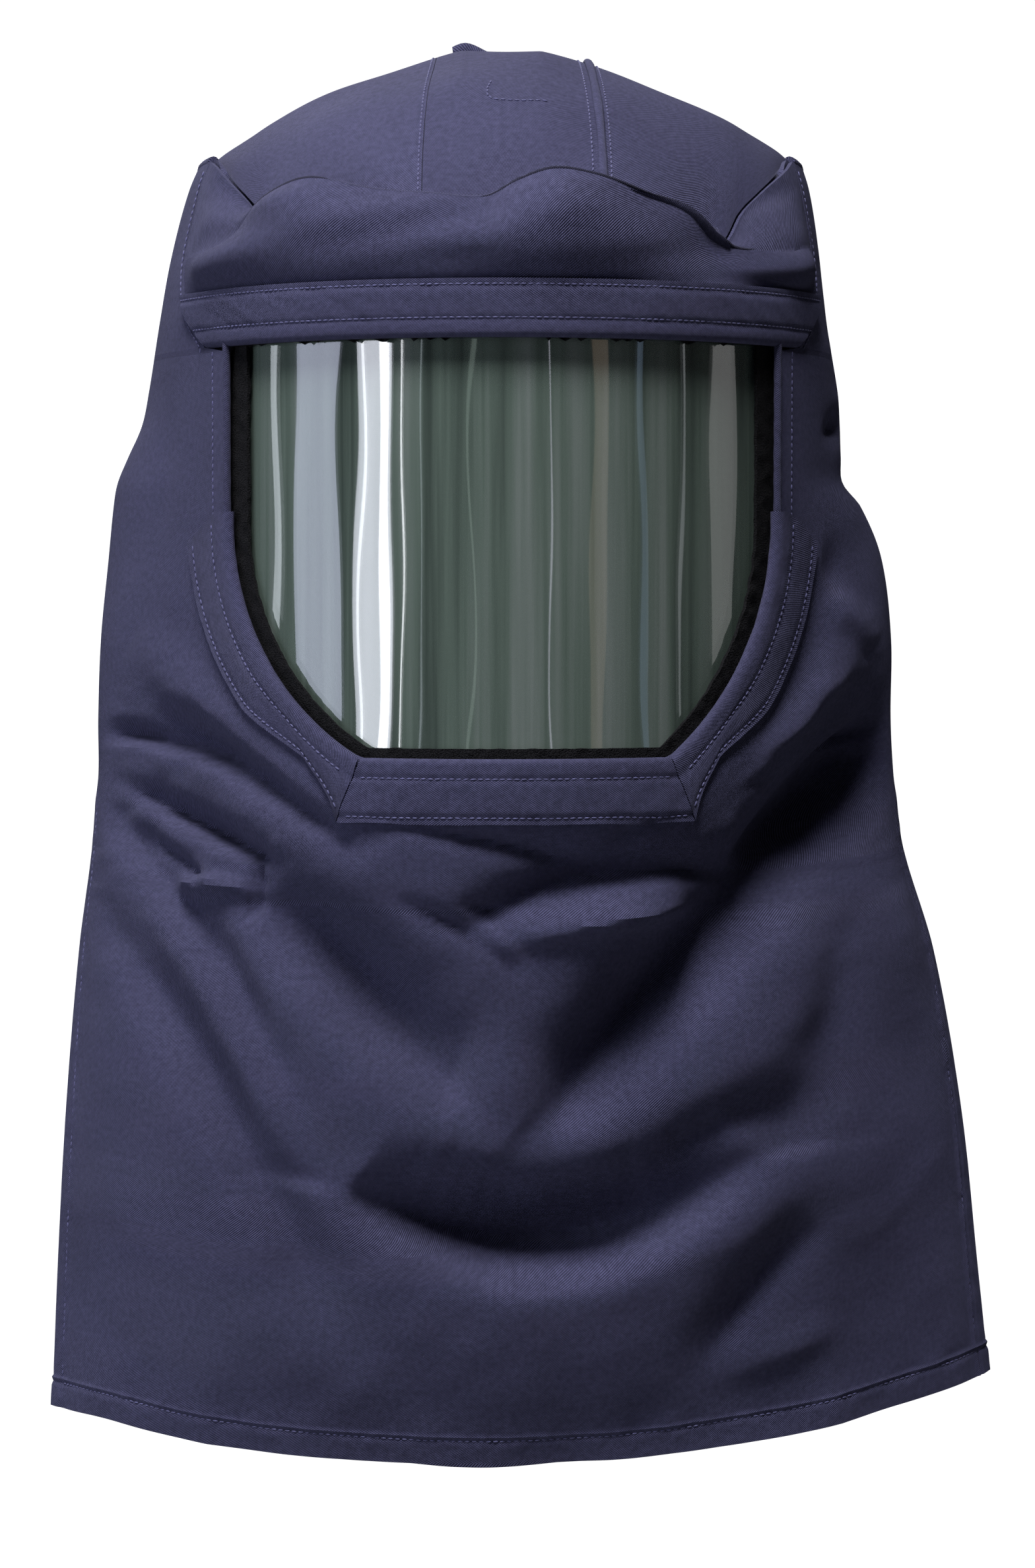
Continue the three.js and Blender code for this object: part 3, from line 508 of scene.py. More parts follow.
def panelShape(u, v):  # the rows follow the window, so their places come from panelRows instead of u and v
    last = panelLine(panelRows[-1:])
    t = np.concatenate([panelLine(panelRows), np.repeat(last, panel["bibRows"], 0)])
    z = np.repeat(panelRows[:, None], t.shape[1], 1)
    fine = np.linspace(hem["fineRows"], 0, panel["hemRows"] + 1)[1:, None]
    down = np.linspace(0, 1, panel["bibRows"] - panel["hemRows"] + 1)[1:, None]
    z = np.concatenate([z, mix(panelRows[-1], hemAt(last) + hem["fineRows"], down), hemAt(last) + fine])
    points = frontSurface(t, z)
    x = points[..., 0]
    depth = z - hemAt(t)
    edge = (1 - np.abs(t)) * quarterArc
    belowVent = smooth(body["vents"], body["vents"] - hem["ventFade"], z)
    pucker = hem["pucker"] * waves["pucker"](x, z) * hemPucker(depth)
    pucker = pucker + hem["sidePucker"] * waves["pucker"](z, x) * hemPucker(edge) * belowVent
    height = hemBand(depth) + hemBand(edge) * belowVent + pucker
    return points + normals(frontBase, t, z) * height[..., None]


def panelHole(c, r):
    return r < windowRows and panel["legColumns"] <= c < panel["legColumns"] + panel["middleColumns"]


panelColumns = panel["legColumns"] * 2 + panel["middleColumns"]
frontPanel = clothSheet("frontPanel", panelColumns, windowRows + panel["bibRows"], panelShape, body["cloth"],
                        panelHole, "front_panel")

print("back panel")
backCloth = {"columns": 110, "rows": 130, "lift": 25, "rise": 20, "wave": 2.2, "lowWave": 4, "fineWave": 0.4}
backWaves = ripples(16, 90, 220, (1, 2.2))


def rearRim(t):
    return body["rim"] - body["rearDip"] * np.cos(t * pi / 2)


def backHemAt(t):
    return -body["height"] + backCloth["lift"] + backCloth["rise"] * t * t


def backSurface(t, z):
    base = backBase(t, z)
    fade = smooth(0.98, 0.7, np.abs(t)) * smooth(body["rim"] - 20, body["rim"] - 120, z)
    low = smooth(-200, -600, z)
    height = (backCloth["wave"] + backCloth["lowWave"] * low) * backWaves(base[..., 0], z)
    height = height + backCloth["fineWave"] * waves["fine"](base[..., 0], z)
    return base + normals(backBase, t, z) * (height * fade)[..., None]


def backShape(u, v):
    t = (np.linspace(-1, 1, len(u)) * sideSlack)[None, :] + np.zeros((len(v), 1))
    z = mix(rearRim(t), backHemAt(t), v[:, None])
    n = normals(backBase, t, z)
    return backSurface(t, z) + n * hemBand(z - backHemAt(t))[..., None]


backPanel = clothSheet("backPanel", backCloth["columns"], backCloth["rows"], backShape, body["cloth"],
                       node="back_panel")

print("brow")
brow = {
    "bulge": 13, "lift": 5, "setBack": 7, "columns": 230, "rows": 84,
    # along, seam, crest, bulge
    "stations": [
        (-1, 0.374, 0.7, 0), (-0.93, 0.405, 0.695, 0.25), (-0.857, 0.455, 0.69, 0.6),
        (-0.75, 0.54, 0.665, 0.8), (-0.67, 0.615, 0.605, 0.9), (-0.61, 0.61, 0.555, 1),
        (-0.55, 0.59, 0.515, 1), (-0.49, 0.575, 0.5, 1), (-0.42, 0.575, 0.51, 0.9),
        (-0.33, 0.585, 0.54, 0.8), (-0.19, 0.6, 0.565, 0.7), (-0.04, 0.61, 0.58, 0.75),
        (0.04, 0.605, 0.53, 1.1), (0.12, 0.59, 0.498, 1.3), (0.22, 0.595, 0.51, 0.95),
        (0.34, 0.605, 0.545, 0.45), (0.46, 0.635, 0.585, 0.1), (0.55, 0.69, 0.655, -0.1),
        (0.62, 0.67, 0.7, 0), (0.7, 0.57, 0.705, 0.3), (0.8, 0.49, 0.7, 0.7),
        (0.86, 0.45, 0.685, 0.7), (0.93, 0.41, 0.67, 0.4), (1, 0.374, 0.66, 0),
    ],
}
browWaves = ripples(14, 26, 60, (1.6, 0.8))


def browBase(u, level):
    row = readAlong(brow["stations"], u)
    seam, crest, bulge = row[..., 1] * window["top"], row[..., 2] * window["top"], row[..., 3]
    foot = window["top"] + windowEdge
    share = clip01(level - 1)
    rolled = clip01(level - 2)
    rise = bulge * brow["bulge"] * np.sin(pi * np.minimum(share * 0.88, 1)) ** 0.8
    topRise = bulge * brow["bulge"] * sin(pi * 0.88) ** 0.8
    setBack = -brow["setBack"] * smooth(0.95, 0.7, np.abs(u))
    z = np.where(level <= 1, mix(foot, bindingTop, clip01(level)), mix(bindingTop, crest, share))
    z = np.where(level <= 2, z, mix(crest, seam, rolled) + brow["lift"] * np.sin(pi * rolled) * bulge)
    out = np.where(level <= 2, rise, mix(topRise, setBack, smooth(0, 1, rolled)))
    side = browSide(z) - 2 * panel["seamGap"] / quarterArc
    t = u * side
    return t, z, out


def browSurface(u, level):
    u, level = np.broadcast_arrays(np.asarray(u, float), np.asarray(level, float))
    t, z, out = browBase(u, level)
    base = frontBase(t, z)
    free = smooth(1.05, 1.5, level) * smooth(3, 2.6, level) * smooth(0.98, 0.85, np.abs(u))
    out = out + 0.8 * browWaves(base[..., 0], z * 1.4) * free
    return base + normals(frontBase, t, z) * out[..., None]


def browShape(u, v):
    level = np.concatenate([np.linspace(3, 2, 26)[:-1], np.linspace(2, 1, 42)[:-1], np.linspace(1, 0, 19)])
    level = np.interp(v, np.linspace(0, 1, len(level)), level)
    return browSurface((u * 2 - 1)[None, :], level[:, None])


browCloth = clothSheet("browCloth", brow["columns"], brow["rows"], browShape, body["cloth"],
                       node="brow_panel")

print("crown")
crown = {
    "flat": 0.1, "foot": 0.93, "inset": 3.1, "cornerInset": 2.4, "gap": 0.3, "wave": 0.7,
    "stripFront": 85, "stripTop": 70, "shift": 5,
}
cornerSide = float(browSide(np.array([body["rim"]]))[0])
crownHalf = float(frontBase(cornerSide, body["rim"])[0])
crownWaves = ripples(16, 40, 110)


def inward(point, n, t):
    inset = crown["inset"] + crown["cornerInset"] * smooth(0.15, 0, np.abs(np.abs(t) - cornerSide))
    return point - unit(n * np.array([1, 1, 0])) * inset[..., None]


def crownSurface(u, s):
    u, s = np.broadcast_arrays(np.asarray(u, float), np.asarray(s, float))
    rim = body["rim"] + 0 * u

    def frontRim(v):
        return inward(browSurface(v, 3 + 0 * v), normals(frontBase, v * cornerSide, rim), v * cornerSide)

    def backRim(t):
        return inward(backBase(t, rearRim(t)), normals(backBase, t, rim), t)

    def sideRim(way):
        share = 2 * s - 1
        t = way * mix(1, cornerSide, np.abs(share))
        front = inward(frontBase(t, rim), normals(frontBase, t, rim), t)
        return np.where((share < 0)[..., None], front, backRim(-t))

    one = np.ones_like(u)
    across = ((1 + u) / 2)[..., None]
    along = s[..., None]
    point = mix(frontRim(u), backRim(-u * cornerSide), along) + mix(sideRim(-1), sideRim(1), across)
    point = point - mix(mix(frontRim(-one), frontRim(one), across),
                        mix(backRim(one * cornerSide), backRim(-one * cornerSide), across), along)
    fall = clip01((np.abs(u) - crown["flat"]) / (crown["foot"] - crown["flat"])) ** 1.1
    ridge = body["rim"] + body["arch"] * (1 - fall) + body["cloth"]
    dome = 1 - np.abs(2 * s - 1) ** 2.1
    point[..., 2] = mix(point[..., 2], ridge, dome)
    soft = clip01(dome * 2) * smooth(1, 0.85, np.abs(u))
    point[..., 2] += crown["wave"] * crownWaves(point[..., 0], point[..., 1]) * soft
    return point


def stripEdge(way, s):
    width = mix(crown["stripFront"], crown["stripTop"], smooth(0, 0.45, s))
    # Places on the crown run evenly by the angle round its rim, not by the distance from the axis
    corner = cornerSide * pi / 2
    return np.arcsin((way * width / 2 + crown["shift"]) * sin(corner) / crownHalf) / corner


def seamEdge(way):
    return lambda s: stripEdge(way, s)


def sideEdge(way):
    return lambda s: way + 0 * s


def crownPiece(name, columns, fromEdge, toEdge, node):
    def shape(u, v):
        s = 1 - v[:, None]
        slack = crown["gap"] / 2 / crownHalf
        return crownSurface(mix(fromEdge(s) + slack, toEdge(s) - slack, u[None, :]), s)
    return clothSheet(name, columns, 120, shape, body["cloth"], node=node)


crownStrip = crownPiece("crownStrip", 50, seamEdge(-1), seamEdge(1), "crown_center_strip")
crownRight = crownPiece("crownRight", 60, sideEdge(-1), seamEdge(-1), "crown_right_panel")
crownLeft = crownPiece("crownLeft", 60, seamEdge(1), sideEdge(1), "crown_left_panel")

print("rear fold")
rearFold = {"s": 0.72, "start": -0.13, "height": 26, "width": 60, "lean": 2, "thickness": 5, "foot": 0.8}


def rearFoldShape(u, v):
    across = rearFold["start"] + u[None, :] * rearFold["width"] / crownHalf
    around = v[:, None] * 2  # up the front side, over, and down the back side
    up = 1 - np.abs(around - 1)
    up = 1 - (1 - up) ** 1.8
    back = rearFold["thickness"] * smooth(0.75, 1.25, around) + rearFold["lean"] * up
    ground = crownSurface(across + 0 * v[:, None], rearFold["s"] + back / (body["front"] + body["back"]))
    tall = rearFold["height"] * mix(1, 0.35, u[None, :] ** 1.3) * (1 + 0.06 * np.sin(u[None, :] * 19))
    ground[..., 2] += rearFold["foot"] + up * tall
    return ground


rearTab = clothSheet("rearTab", 40, 28, rearFoldShape, 1.6, node="rear_crown_fold")

print("bindings")
binding = {
    "rise": 1.9, "thickness": 1.3, "top": 20, "side": 15, "bottom": 23, "roll": 3.1, "turn": 150,
    "topLean": 2.4,
    # How far the rows of stitches lie from a strip's outer edge, and the share of its rows before the roll
    "topStitches": (2.6, 17.4), "sideStitches": (2.2, 12.8), "bottomStitches": (2.6, 20.2),
    "topFlat": 0.72, "sideFlat": 0.6, "bottomFlat": 0.7,
}


def puffed(across, rowsAt, height):  # a strip swells between its rows of stitches
    dips = sum(np.exp(-(((across - at) / 1.4) ** 2)) for at in rowsAt)
    return height * (1 - dips) - 0.5 * height * dips


def rolled(v, flat, width):  # where a strip is at v: its growth from the window's outline, and its height
    turn = clip01((v - flat) / (1 - flat)) * radians(binding["turn"])
    reach = mix(windowEdge + width, window["lip"], clip01(v / flat))
    grow = np.where(v < flat, reach, window["lip"] - binding["roll"] * np.sin(turn))
    height = binding["roll"] * (np.cos(turn) - 1)
    return grow, height


def topStripPlace(u, v):
    grow, fall = rolled(v, binding["topFlat"], binding["top"])
    z = window["top"] + grow
    side = browSide(np.maximum(z, window["top"])) - 4 * panel["seamGap"] / quarterArc
    return (u * 2 - 1) * side, z, fall


def topStripLean(z):  # its foot lies further back than its head
    return binding["topLean"] * (clip01((z - window["top"]) / binding["top"]) - 0.4)


def topStripShape(u, v):
    u, v = np.meshgrid(u, v)
    t, z, fall = topStripPlace(u, v)
    points, n = onSurface(frontBase, t, z, 0)
    across = bindingTop - z
    ripple = 0.12 * waves["pucker"](points[..., 0] + z * 1.4, z * 0.4)
    ripple = ripple * smooth(0, 3, across) * smooth(20, 17, across)
    height = binding["rise"] + puffed(across, binding["topStitches"], 0.5) + ripple + fall + topStripLean(z)
    return points + n * height[..., None]


topBinding = clothSheet("topBinding", 240, 34, topStripShape, binding["thickness"],
                        node="window_binding_top")

cornerZ = windowBottom - windowEdge - binding["bottom"]


def cornerX(way):
    return float(windowHalf(windowBottom - windowEdge, windowEdge, way))


def outerX(way):
    return cornerX(way) + binding["side"] * 0.62


def sideStripPlace(way, u, v):  # u from the outer edge over the lip, v down to the mitre
    grow, fall = rolled(u, binding["sideFlat"], binding["side"])
    share = (grow - windowEdge) / binding["side"]
    start = windowBend + 6
    innerZ = mix(start, windowBottom - windowEdge, v)
    outerZ = mix(start - 14, cornerZ, v)
    innerX = windowHalf(innerZ, windowEdge, way)
    roundX = windowHalf(np.maximum(outerZ, windowBottom), windowEdge + binding["side"], way)
    outer = mix(roundX, outerX(way), smooth(0.6, 1, v))
    x, z = mix(innerX, outer, share), mix(innerZ, outerZ, share)
    # Inside the strip's own width the roll follows the window's outline
    inwards = clip01(-share * binding["side"] / windowEdge)
    z = np.where(share < 0, innerZ + mix(0, windowEdge, inwards) * v**3, z)
    x = np.where(share < 0, windowHalf(np.maximum(z, windowBottom - grow), grow, way), x)
    return tAt(way * (x + 0.3), z), z, fall


def sideStripShape(way):
    def shape(u, v):
        u, v = np.meshgrid(1 - u if way > 0 else u, v)
        t, z, fall = sideStripPlace(way, u, v)
        points, n = onSurface(frontSurface, t, z, 0)
        across = u / binding["sideFlat"] * (binding["side"] + windowEdge - window["lip"])
        height = binding["rise"] + puffed(across, binding["sideStitches"], 0.45)
        height = height + 0.08 * waves["pucker"](points[..., 0], z) + fall
        return points + n * height[..., None]
    return shape


rightBinding = clothSheet("rightBinding", 34, 90, sideStripShape(-1), binding["thickness"],
                          node="window_binding_right")
leftBinding = clothSheet("leftBinding", 34, 90, sideStripShape(1), binding["thickness"],
                         node="window_binding_left")


def bottomStripPlace(u, v):
    grow, fall = rolled(v, binding["bottomFlat"], binding["bottom"])
    z = windowBottom - grow
    share = (grow - windowEdge) / binding["bottom"]
    low, high = (way * (mix(cornerX(way), outerX(way), share) - 0.3) for way in (-1, 1))
    return tAt(mix(low, high, u), z), z, fall


def bottomStripShape(u, v):
    u, v = np.meshgrid(1 - u, v)
    t, z, fall = bottomStripPlace(u, v)
    points, n = onSurface(frontSurface, t, z, 0)
    across = z - cornerZ
    height = binding["rise"] + puffed(across, binding["bottomStitches"], 0.6)
    height = height + 0.12 * waves["pucker"](points[..., 0], z) + fall
    return points + n * height[..., None]


bottomBinding = clothSheet("bottomBinding", 130, 36, bottomStripShape, binding["thickness"],
                           node="window_binding_bottom")

print("lip, tape and shield")
edgeFold = {"radius": 1.9, "ripple": 0.1, "beside": 2.2, "sink": 0.6, "clear": 4}
edgeZ = np.linspace(window["top"] + edgeFold["clear"], windowBend + edgeFold["clear"], 60)
sideEdges = []
for way, name in ((-1, "rightEdgeFold"), (1, "leftEdgeFold")):
    edgeT = tAt(way * (window["halfWidth"] + edgeFold["beside"]), edgeZ)
    edgePoints, edgeOut = onSurface(frontBase, edgeT, edgeZ, -edgeFold["sink"])
    edgeThick = edgeFold["radius"] + edgeFold["ripple"] * np.sin(edgeZ * 0.5)
    sideEdges.append(rollAlong(name, edgePoints, edgeOut, edgeFold["radius"], edgeThick))
lip = {"seat": -1.2, "ripple": 0.05, "slimmer": 0.3, "topSteps": 110, "sideSteps": 60, "bottomSteps": 90}
lipX = np.linspace(-window["halfWidth"] + window["lip"], window["halfWidth"] - window["lip"], lip["topSteps"])
lipZ = np.full_like(lipX, window["top"] + window["lip"])
lipPoints, lipOut = onSurface(frontBase, tAt(lipX, lipZ), lipZ, lip["seat"])
lipThick = window["lip"] * (1 + lip["ripple"] * np.sin(lipX * 0.21))
topLip = rollAlong("topLip", lipPoints, lipOut, window["lip"], lipThick, node="window_lip_top")
lowGrow = window["lip"] - lip["slimmer"]
lowZ = np.linspace(windowBend + 6, windowBottom - lowGrow, lip["sideSteps"])[:-1]
lowX = np.linspace(-float(windowHalf(windowBottom - lowGrow, lowGrow, -1)) + 2,
                   float(windowHalf(windowBottom - lowGrow, lowGrow, 1)) - 2, lip["bottomSteps"])
routeX = np.concatenate([-windowHalf(lowZ, lowGrow, -1), lowX, windowHalf(lowZ, lowGrow, 1)[::-1]])
routeZ = np.concatenate([lowZ, np.full_like(lowX, windowBottom - lowGrow), lowZ[::-1]])
lipPoints, lipOut = onSurface(frontBase, tAt(routeX, routeZ), routeZ, lip["seat"])
lowerLip = rollAlong("lowerLip", lipPoints, lipOut, window["lip"], window["lip"], node="window_lip_lower")

tape = {"depth": 4.4, "thickness": 1.6, "topInset": 0.3, "fuzz": 0.25, "columns": 420, "rows": 14}


def windowOutline(grow, share):  # t and z round the window, from the top left corner and down the left side
    half = {way: windowHalf(windowBottom - grow, grow, way) for way in (-1, 1)}
    top, bottom = window["top"] + grow, windowBottom - grow
    down = np.linspace(top, bottom, 160)
    left = np.stack([windowHalf(down, grow, 1), down], -1)
    right = np.stack([-windowHalf(down, grow, -1), down], -1)[::-1]
    under = np.stack([np.linspace(half[1], -half[-1], 90), np.full(90, bottom)], -1)[1:-1]
    over = np.stack([np.linspace(right[-1, 0], left[0, 0], 120), np.full(120, top)], -1)[1:]
    path = np.concatenate([left, under, right, over])
    s = np.concatenate([[0], np.cumsum(np.linalg.norm(np.diff(path, axis=0), axis=1))])
    s /= s[-1]
    x, z = np.interp(share, s, path[:, 0]), np.interp(share, s, path[:, 1])
    return tAt(x, z), z


def tapeShape(u, v):
    rows = []
    for share in v:
        grow = mix(window["tapeReach"], -window["inset"], share)
        t, z = windowOutline(grow, u)
        z = z + max(-grow - tape["topInset"], 0) * smooth(window["top"] - 26, window["top"] - 5, z)
        points, n = onSurface(frontBase, t, z, 0)
        fuzz = tape["fuzz"] * waves["pucker"](points[:, 0] * 2.2, z * 2.2)
        rows.append(points + n * (fuzz - tape["depth"])[:, None])
    return np.array(rows)


tapeRing = clothSheet("tapeRing", tape["columns"], tape["rows"], tapeShape, tape["thickness"],
                      node="hook_and_loop_tape")

shield = {"depth": 7.8, "thickness": 2, "wave": 0.07, "columns": 220, "rows": 120}
shieldWaves = ripples(16, 14, 50, (1, 7))


def shieldShape(u, v):
    grow = window["shieldReach"]
    z = mix(window["top"] + grow, windowBottom - grow, v)[:, None]
    low, high = tAt(-windowHalf(z, grow, -1), z), tAt(windowHalf(z, grow, 1), z)
    points, n = onSurface(frontBase, mix(low, high, u[None, :]), z + 0 * u[None, :], -shield["depth"])
    return points + n * (shield["wave"] * shieldWaves(points[..., 0], z))[..., None]


shieldPane = clothSheet("shieldPane", shield["columns"], shield["rows"], shieldShape, shield["thickness"],
                        node="face_shield")

print("hems")
# A turned hem lies behind its cloth: its distances from the edge, its depth and its thickness
turned = {
    "inner": 14.5, "outer": 1, "sideInner": 10, "sideOuter": 2, "sink": 3, "thickness": 1.2, "end": 0.98,
}


def hemShape(bottomAt, surface):
    def shape(u, v):
        t = mix(-turned["end"], turned["end"], u[None, :]) + 0 * v[:, None]
        z = bottomAt(t) + mix(turned["inner"], turned["outer"], v[:, None])
        return onSurface(surface, t, z, -turned["sink"])[0]
    return shape


frontHem = clothSheet("frontHem", 150, 5, hemShape(hemAt, frontSurface), turned["thickness"],
                      node="front_hem")
backHem = clothSheet("backHem", 110, 5, hemShape(backHemAt, backSurface), turned["thickness"],
                     node="back_hem")


def sideHemShape(way):
    def shape(u, v):
        edge = mix(turned["sideInner"], turned["sideOuter"], u if way > 0 else 1 - u)[None, :]
        t = way * (1 - edge / quarterArc) + 0 * v[:, None]
        z = mix(body["vents"] - 10, float(hemAt(way)) + 20, v[:, None]) + 0 * t
        return onSurface(frontSurface, t, z, -turned["sink"])[0]
    return shape


sideHemRight = clothSheet("sideHemRight", 5, 90, sideHemShape(-1), turned["thickness"],
                          node="front_side_hem_right")
sideHemLeft = clothSheet("sideHemLeft", 5, 90, sideHemShape(1), turned["thickness"],
                         node="front_side_hem_left")

print("stitches")
steps = np.linspace(0, 1, 200)
seams = {
    "sink": 0.1, "rise": 0.1, "hemRise": 0.15, "hookRise": 0.2, "browSide": 4.5, "windowSide": 9,
    # Distances of the crown's rows from the right and the left edge of its centre strip
    "stripRight": [-1.4], "stripLeft": [-3.5, 3.5],
    # A short hooked line of stitches on the centre strip, as u and s of the crown
    "hook": [(-0.025, 0.226), (-0.035, 0.204), (-0.035, 0.188), (-0.025, 0.178), (0.005, 0.176),
             (0.05, 0.174), (0.12, 0.174)],
}
stitchHeight = binding["rise"] - seams["sink"]


def stripShare(strip, across):  # where a row lies in its strip's rows, which go on round the roll
    return across / (binding[strip] + windowEdge - window["lip"]) * binding[strip + "Flat"]


def topRow(across):
    t, z, _ = topStripPlace(steps, stripShare("top", across))
    return onSurface(frontBase, t, z, (stitchHeight + topStripLean(z))[..., None])


def bottomRow(across):
    t, z, _ = bottomStripPlace(mix(0.02, 0.98, steps), stripShare("bottom", across))
    return onSurface(frontSurface, t, z, stitchHeight)


def sideRow(way, across):
    t, z, _ = sideStripPlace(way, stripShare("side", across), mix(0.03, 0.97, steps))
    return onSurface(frontSurface, t, z, stitchHeight)


topStitches = stitchRow("topStitches", [topRow(across) for across in binding["topStitches"]])
bottomStitches = stitchRow("bottomStitches", [bottomRow(across) for across in binding["bottomStitches"]])
sideStitches = stitchRow("sideStitches",
                         [sideRow(way, across) for way in (-1, 1) for across in binding["sideStitches"]])
hemT = mix(-0.955, 0.955, steps)
hemLines = [onSurface(frontSurface, hemT, hemAt(hemT) + hem["stitch"], seams["hemRise"])]
for way in (-1, 1):
    z = mix(body["vents"] - hem["ventFade"], float(hemAt(way)) + hem["stitch"], steps)
    sideT = way * (1 - hem["stitch"] / quarterArc) + 0 * z
    hemLines.append(onSurface(frontSurface, sideT, z, seams["hemRise"]))
hemStitches = stitchRow("hemStitches", hemLines)
backHemT = mix(-0.97, 0.97, steps)
backLine = onSurface(backSurface, backHemT, backHemAt(backHemT) + hem["stitch"], seams["hemRise"])
backStitches = stitchRow("backStitches", [backLine])
crownLines = []
for way, offsets in ((-1, seams["stripRight"]), (1, seams["stripLeft"])):
    for offset in offsets:
        s = mix(0.015, 0.985, steps)
        crownLines.append(onSurface(crownSurface, stripEdge(way, s) + offset / crownHalf, s, seams["rise"]))
hookSteps = steps * (len(seams["hook"]) - 1)
hookU, hookS = [np.interp(hookSteps, range(len(seams["hook"])), values) for values in zip(*seams["hook"])]
crownLines.append(onSurface(crownSurface, hookU, hookS, seams["hookRise"]))
crownStitches = stitchRow("crownStitches", crownLines)
legLines = []
for way in (-1, 1):
    z = mix(body["rim"] - 4, window["top"] - 2, steps)
    besideBrow = way * (browSide(z) + seams["browSide"] / quarterArc)
    legLines.append(onSurface(frontBase, besideBrow, z, seams["rise"]))
    z = mix(window["top"] - 2, windowBend - 6, steps)
    besideWindow = tAt(way * (window["halfWidth"] + seams["windowSide"]), z)
    legLines.append(onSurface(frontBase, besideWindow, z, seams["rise"]))
legStitches = stitchRow("legStitches", legLines)

print("crown welt")
welt = {"across": 2.2, "ripple": 0.2, "out": 1.6, "lift": 0.9}
weltS = mix(0.005, 0.995, np.linspace(0, 1, 150))
weltPoints, weltOut = onSurface(crownSurface, stripEdge(1, weltS), weltS, welt["lift"])
weltAcross = welt["across"] + welt["ripple"] * np.sin(weltS * 40)
crownWelt = rollAlong("crownWelt", weltPoints, weltOut, weltAcross, welt["out"])

print("crown rim and brow creases")
rim = {"radius": 2.9, "inset": 2.7, "rise": 0.2, "steps": 60}
frontArc = np.linspace(cornerSide + 0.012, 1, rim["steps"])
rearArc = np.linspace(1, -1, rim["steps"] * 3)[1:-1]
rimParts = [
    (frontBase(-frontArc, body["rim"]), normals(frontBase, -frontArc, 0 * frontArc + body["rim"])),
    (backBase(rearArc, rearRim(rearArc)), normals(backBase, rearArc, rearRim(rearArc))),
    (frontBase(frontArc[::-1], body["rim"]), normals(frontBase, frontArc[::-1], 0 * frontArc + body["rim"])),
]
rimPoints = np.concatenate([part[0] for part in rimParts])
rimOut = unit(np.concatenate([part[1] for part in rimParts]) * np.array([1, 1, 0]))
rimPoints = rimPoints - rimOut * rim["inset"] + np.array([0, 0, rim["rise"]])
rimWelt = rollAlong("rimWelt", rimPoints, rimOut, rim["radius"], rim["radius"])

# Thin rolls along the brow's crest in a dark copy of the twill: a painted shadow where the crest overhangs
# the crown
crease = {
    "radius": 1.1, "sink": 0.5, "level": 2.04,
    # Each crease shadow's name, and where it starts and ends across the brow
    "rolls": [("rightCreaseShadow", -0.64, -0.42), ("middleCreaseShadow", -0.06, 0.38), ("leftCreaseShadow", 0.36, 0.68)],
}
browCreaseShadows = []
for name, start, end in crease["rolls"]:
    u = np.linspace(start, end, 60)
    creasePoints, creaseOut = onSurface(browSurface, u, crease["level"] + 0 * u, -crease["sink"], 0.02)
    slim = crease["radius"] * (0.15 + 0.85 * np.sin(pi * np.linspace(0.02, 0.98, 60)) ** 0.5)
    browCreaseShadows.append(rollAlong(name, creasePoints, creaseOut, slim, slim, sides=8))

print("materials")


def newMaterial(name):
    material = bpy.data.materials.new(name)
    material.use_nodes = True
    return material, material.node_tree.nodes, material.node_tree.links


def setInputs(target, **values):
    for key, value in values.items():
        target.inputs[key.replace("_", " ")].default_value = value


def node(nodes, kind, **settings):  # settings that begin with in_ are the node's inputs
    made = nodes.new(kind)
    for key, value in settings.items():
        if key.startswith("in_"):
            setInputs(made, **{key[3:]: value})
        else:
            setattr(made, key, value)
    return made


def texture(nodes, links, kind, vector, **settings):
    made = node(nodes, kind, **settings)
    links.new(vector, made.inputs["Vector"])
    return made


def ramp(nodes, links, share, stops):
    made = nodes.new("ShaderNodeValToRGB")
    elements = made.color_ramp.elements
    while len(elements) < len(stops):
        elements.new(0.5)
    for element, (at, color) in zip(elements, stops):
        element.position = at
        element.color = (*color, 1)
    links.new(share, made.inputs["Fac"])
    return made.outputs["Color"]


def multiplied(nodes, links, first, second):
    made = node(nodes, "ShaderNodeMix", data_type="RGBA", blend_type="MULTIPLY", in_Factor=1)
    links.new(first, made.inputs[6])
    links.new(second, made.inputs[7])
    return made.outputs[2]


def raised(nodes, links, height, share, under):  # a share of one height on top of another
    made = node(nodes, "ShaderNodeMath", operation="MULTIPLY_ADD")
    links.new(height, made.inputs[0])
    made.inputs[1].default_value = share
    links.new(under, made.inputs[2])
    return made.outputs["Value"]


def bumped(nodes, links, height, strength, distance):
    bump = node(nodes, "ShaderNodeBump", in_Strength=strength, in_Distance=distance)
    links.new(height, bump.inputs["Height"])
    links.new(bump.outputs["Normal"], nodes["Principled BSDF"].inputs["Normal"])


twill = {
    "color": (0.084, 0.084, 0.173), "valley": (0.024, 0.024, 0.054), "sheen": (0.55, 0.56, 0.75, 1),
    "fade": [(0.3, (0.86, 0.86, 0.87)), (0.7, (1.1, 1.1, 1.09))],
    "mottle": [(0.34, (0.74, 0.74, 0.76)), (0.66, (1.26, 1.26, 1.25))],
    "speck": [(0.72, (0, 0, 0)), (0.78, (0.5, 0.5, 0.5))], "lint": (0.36, 0.36, 0.42, 1),
    # rib and yarn are pitches in metres. band is the pitch of the wave texture at a scale of 1.
    "band": 0.314, "rib": 0.00075, "yarn": 0.0006, "angle": 58, "bump": 0.75, "relief": 0.0004,
}
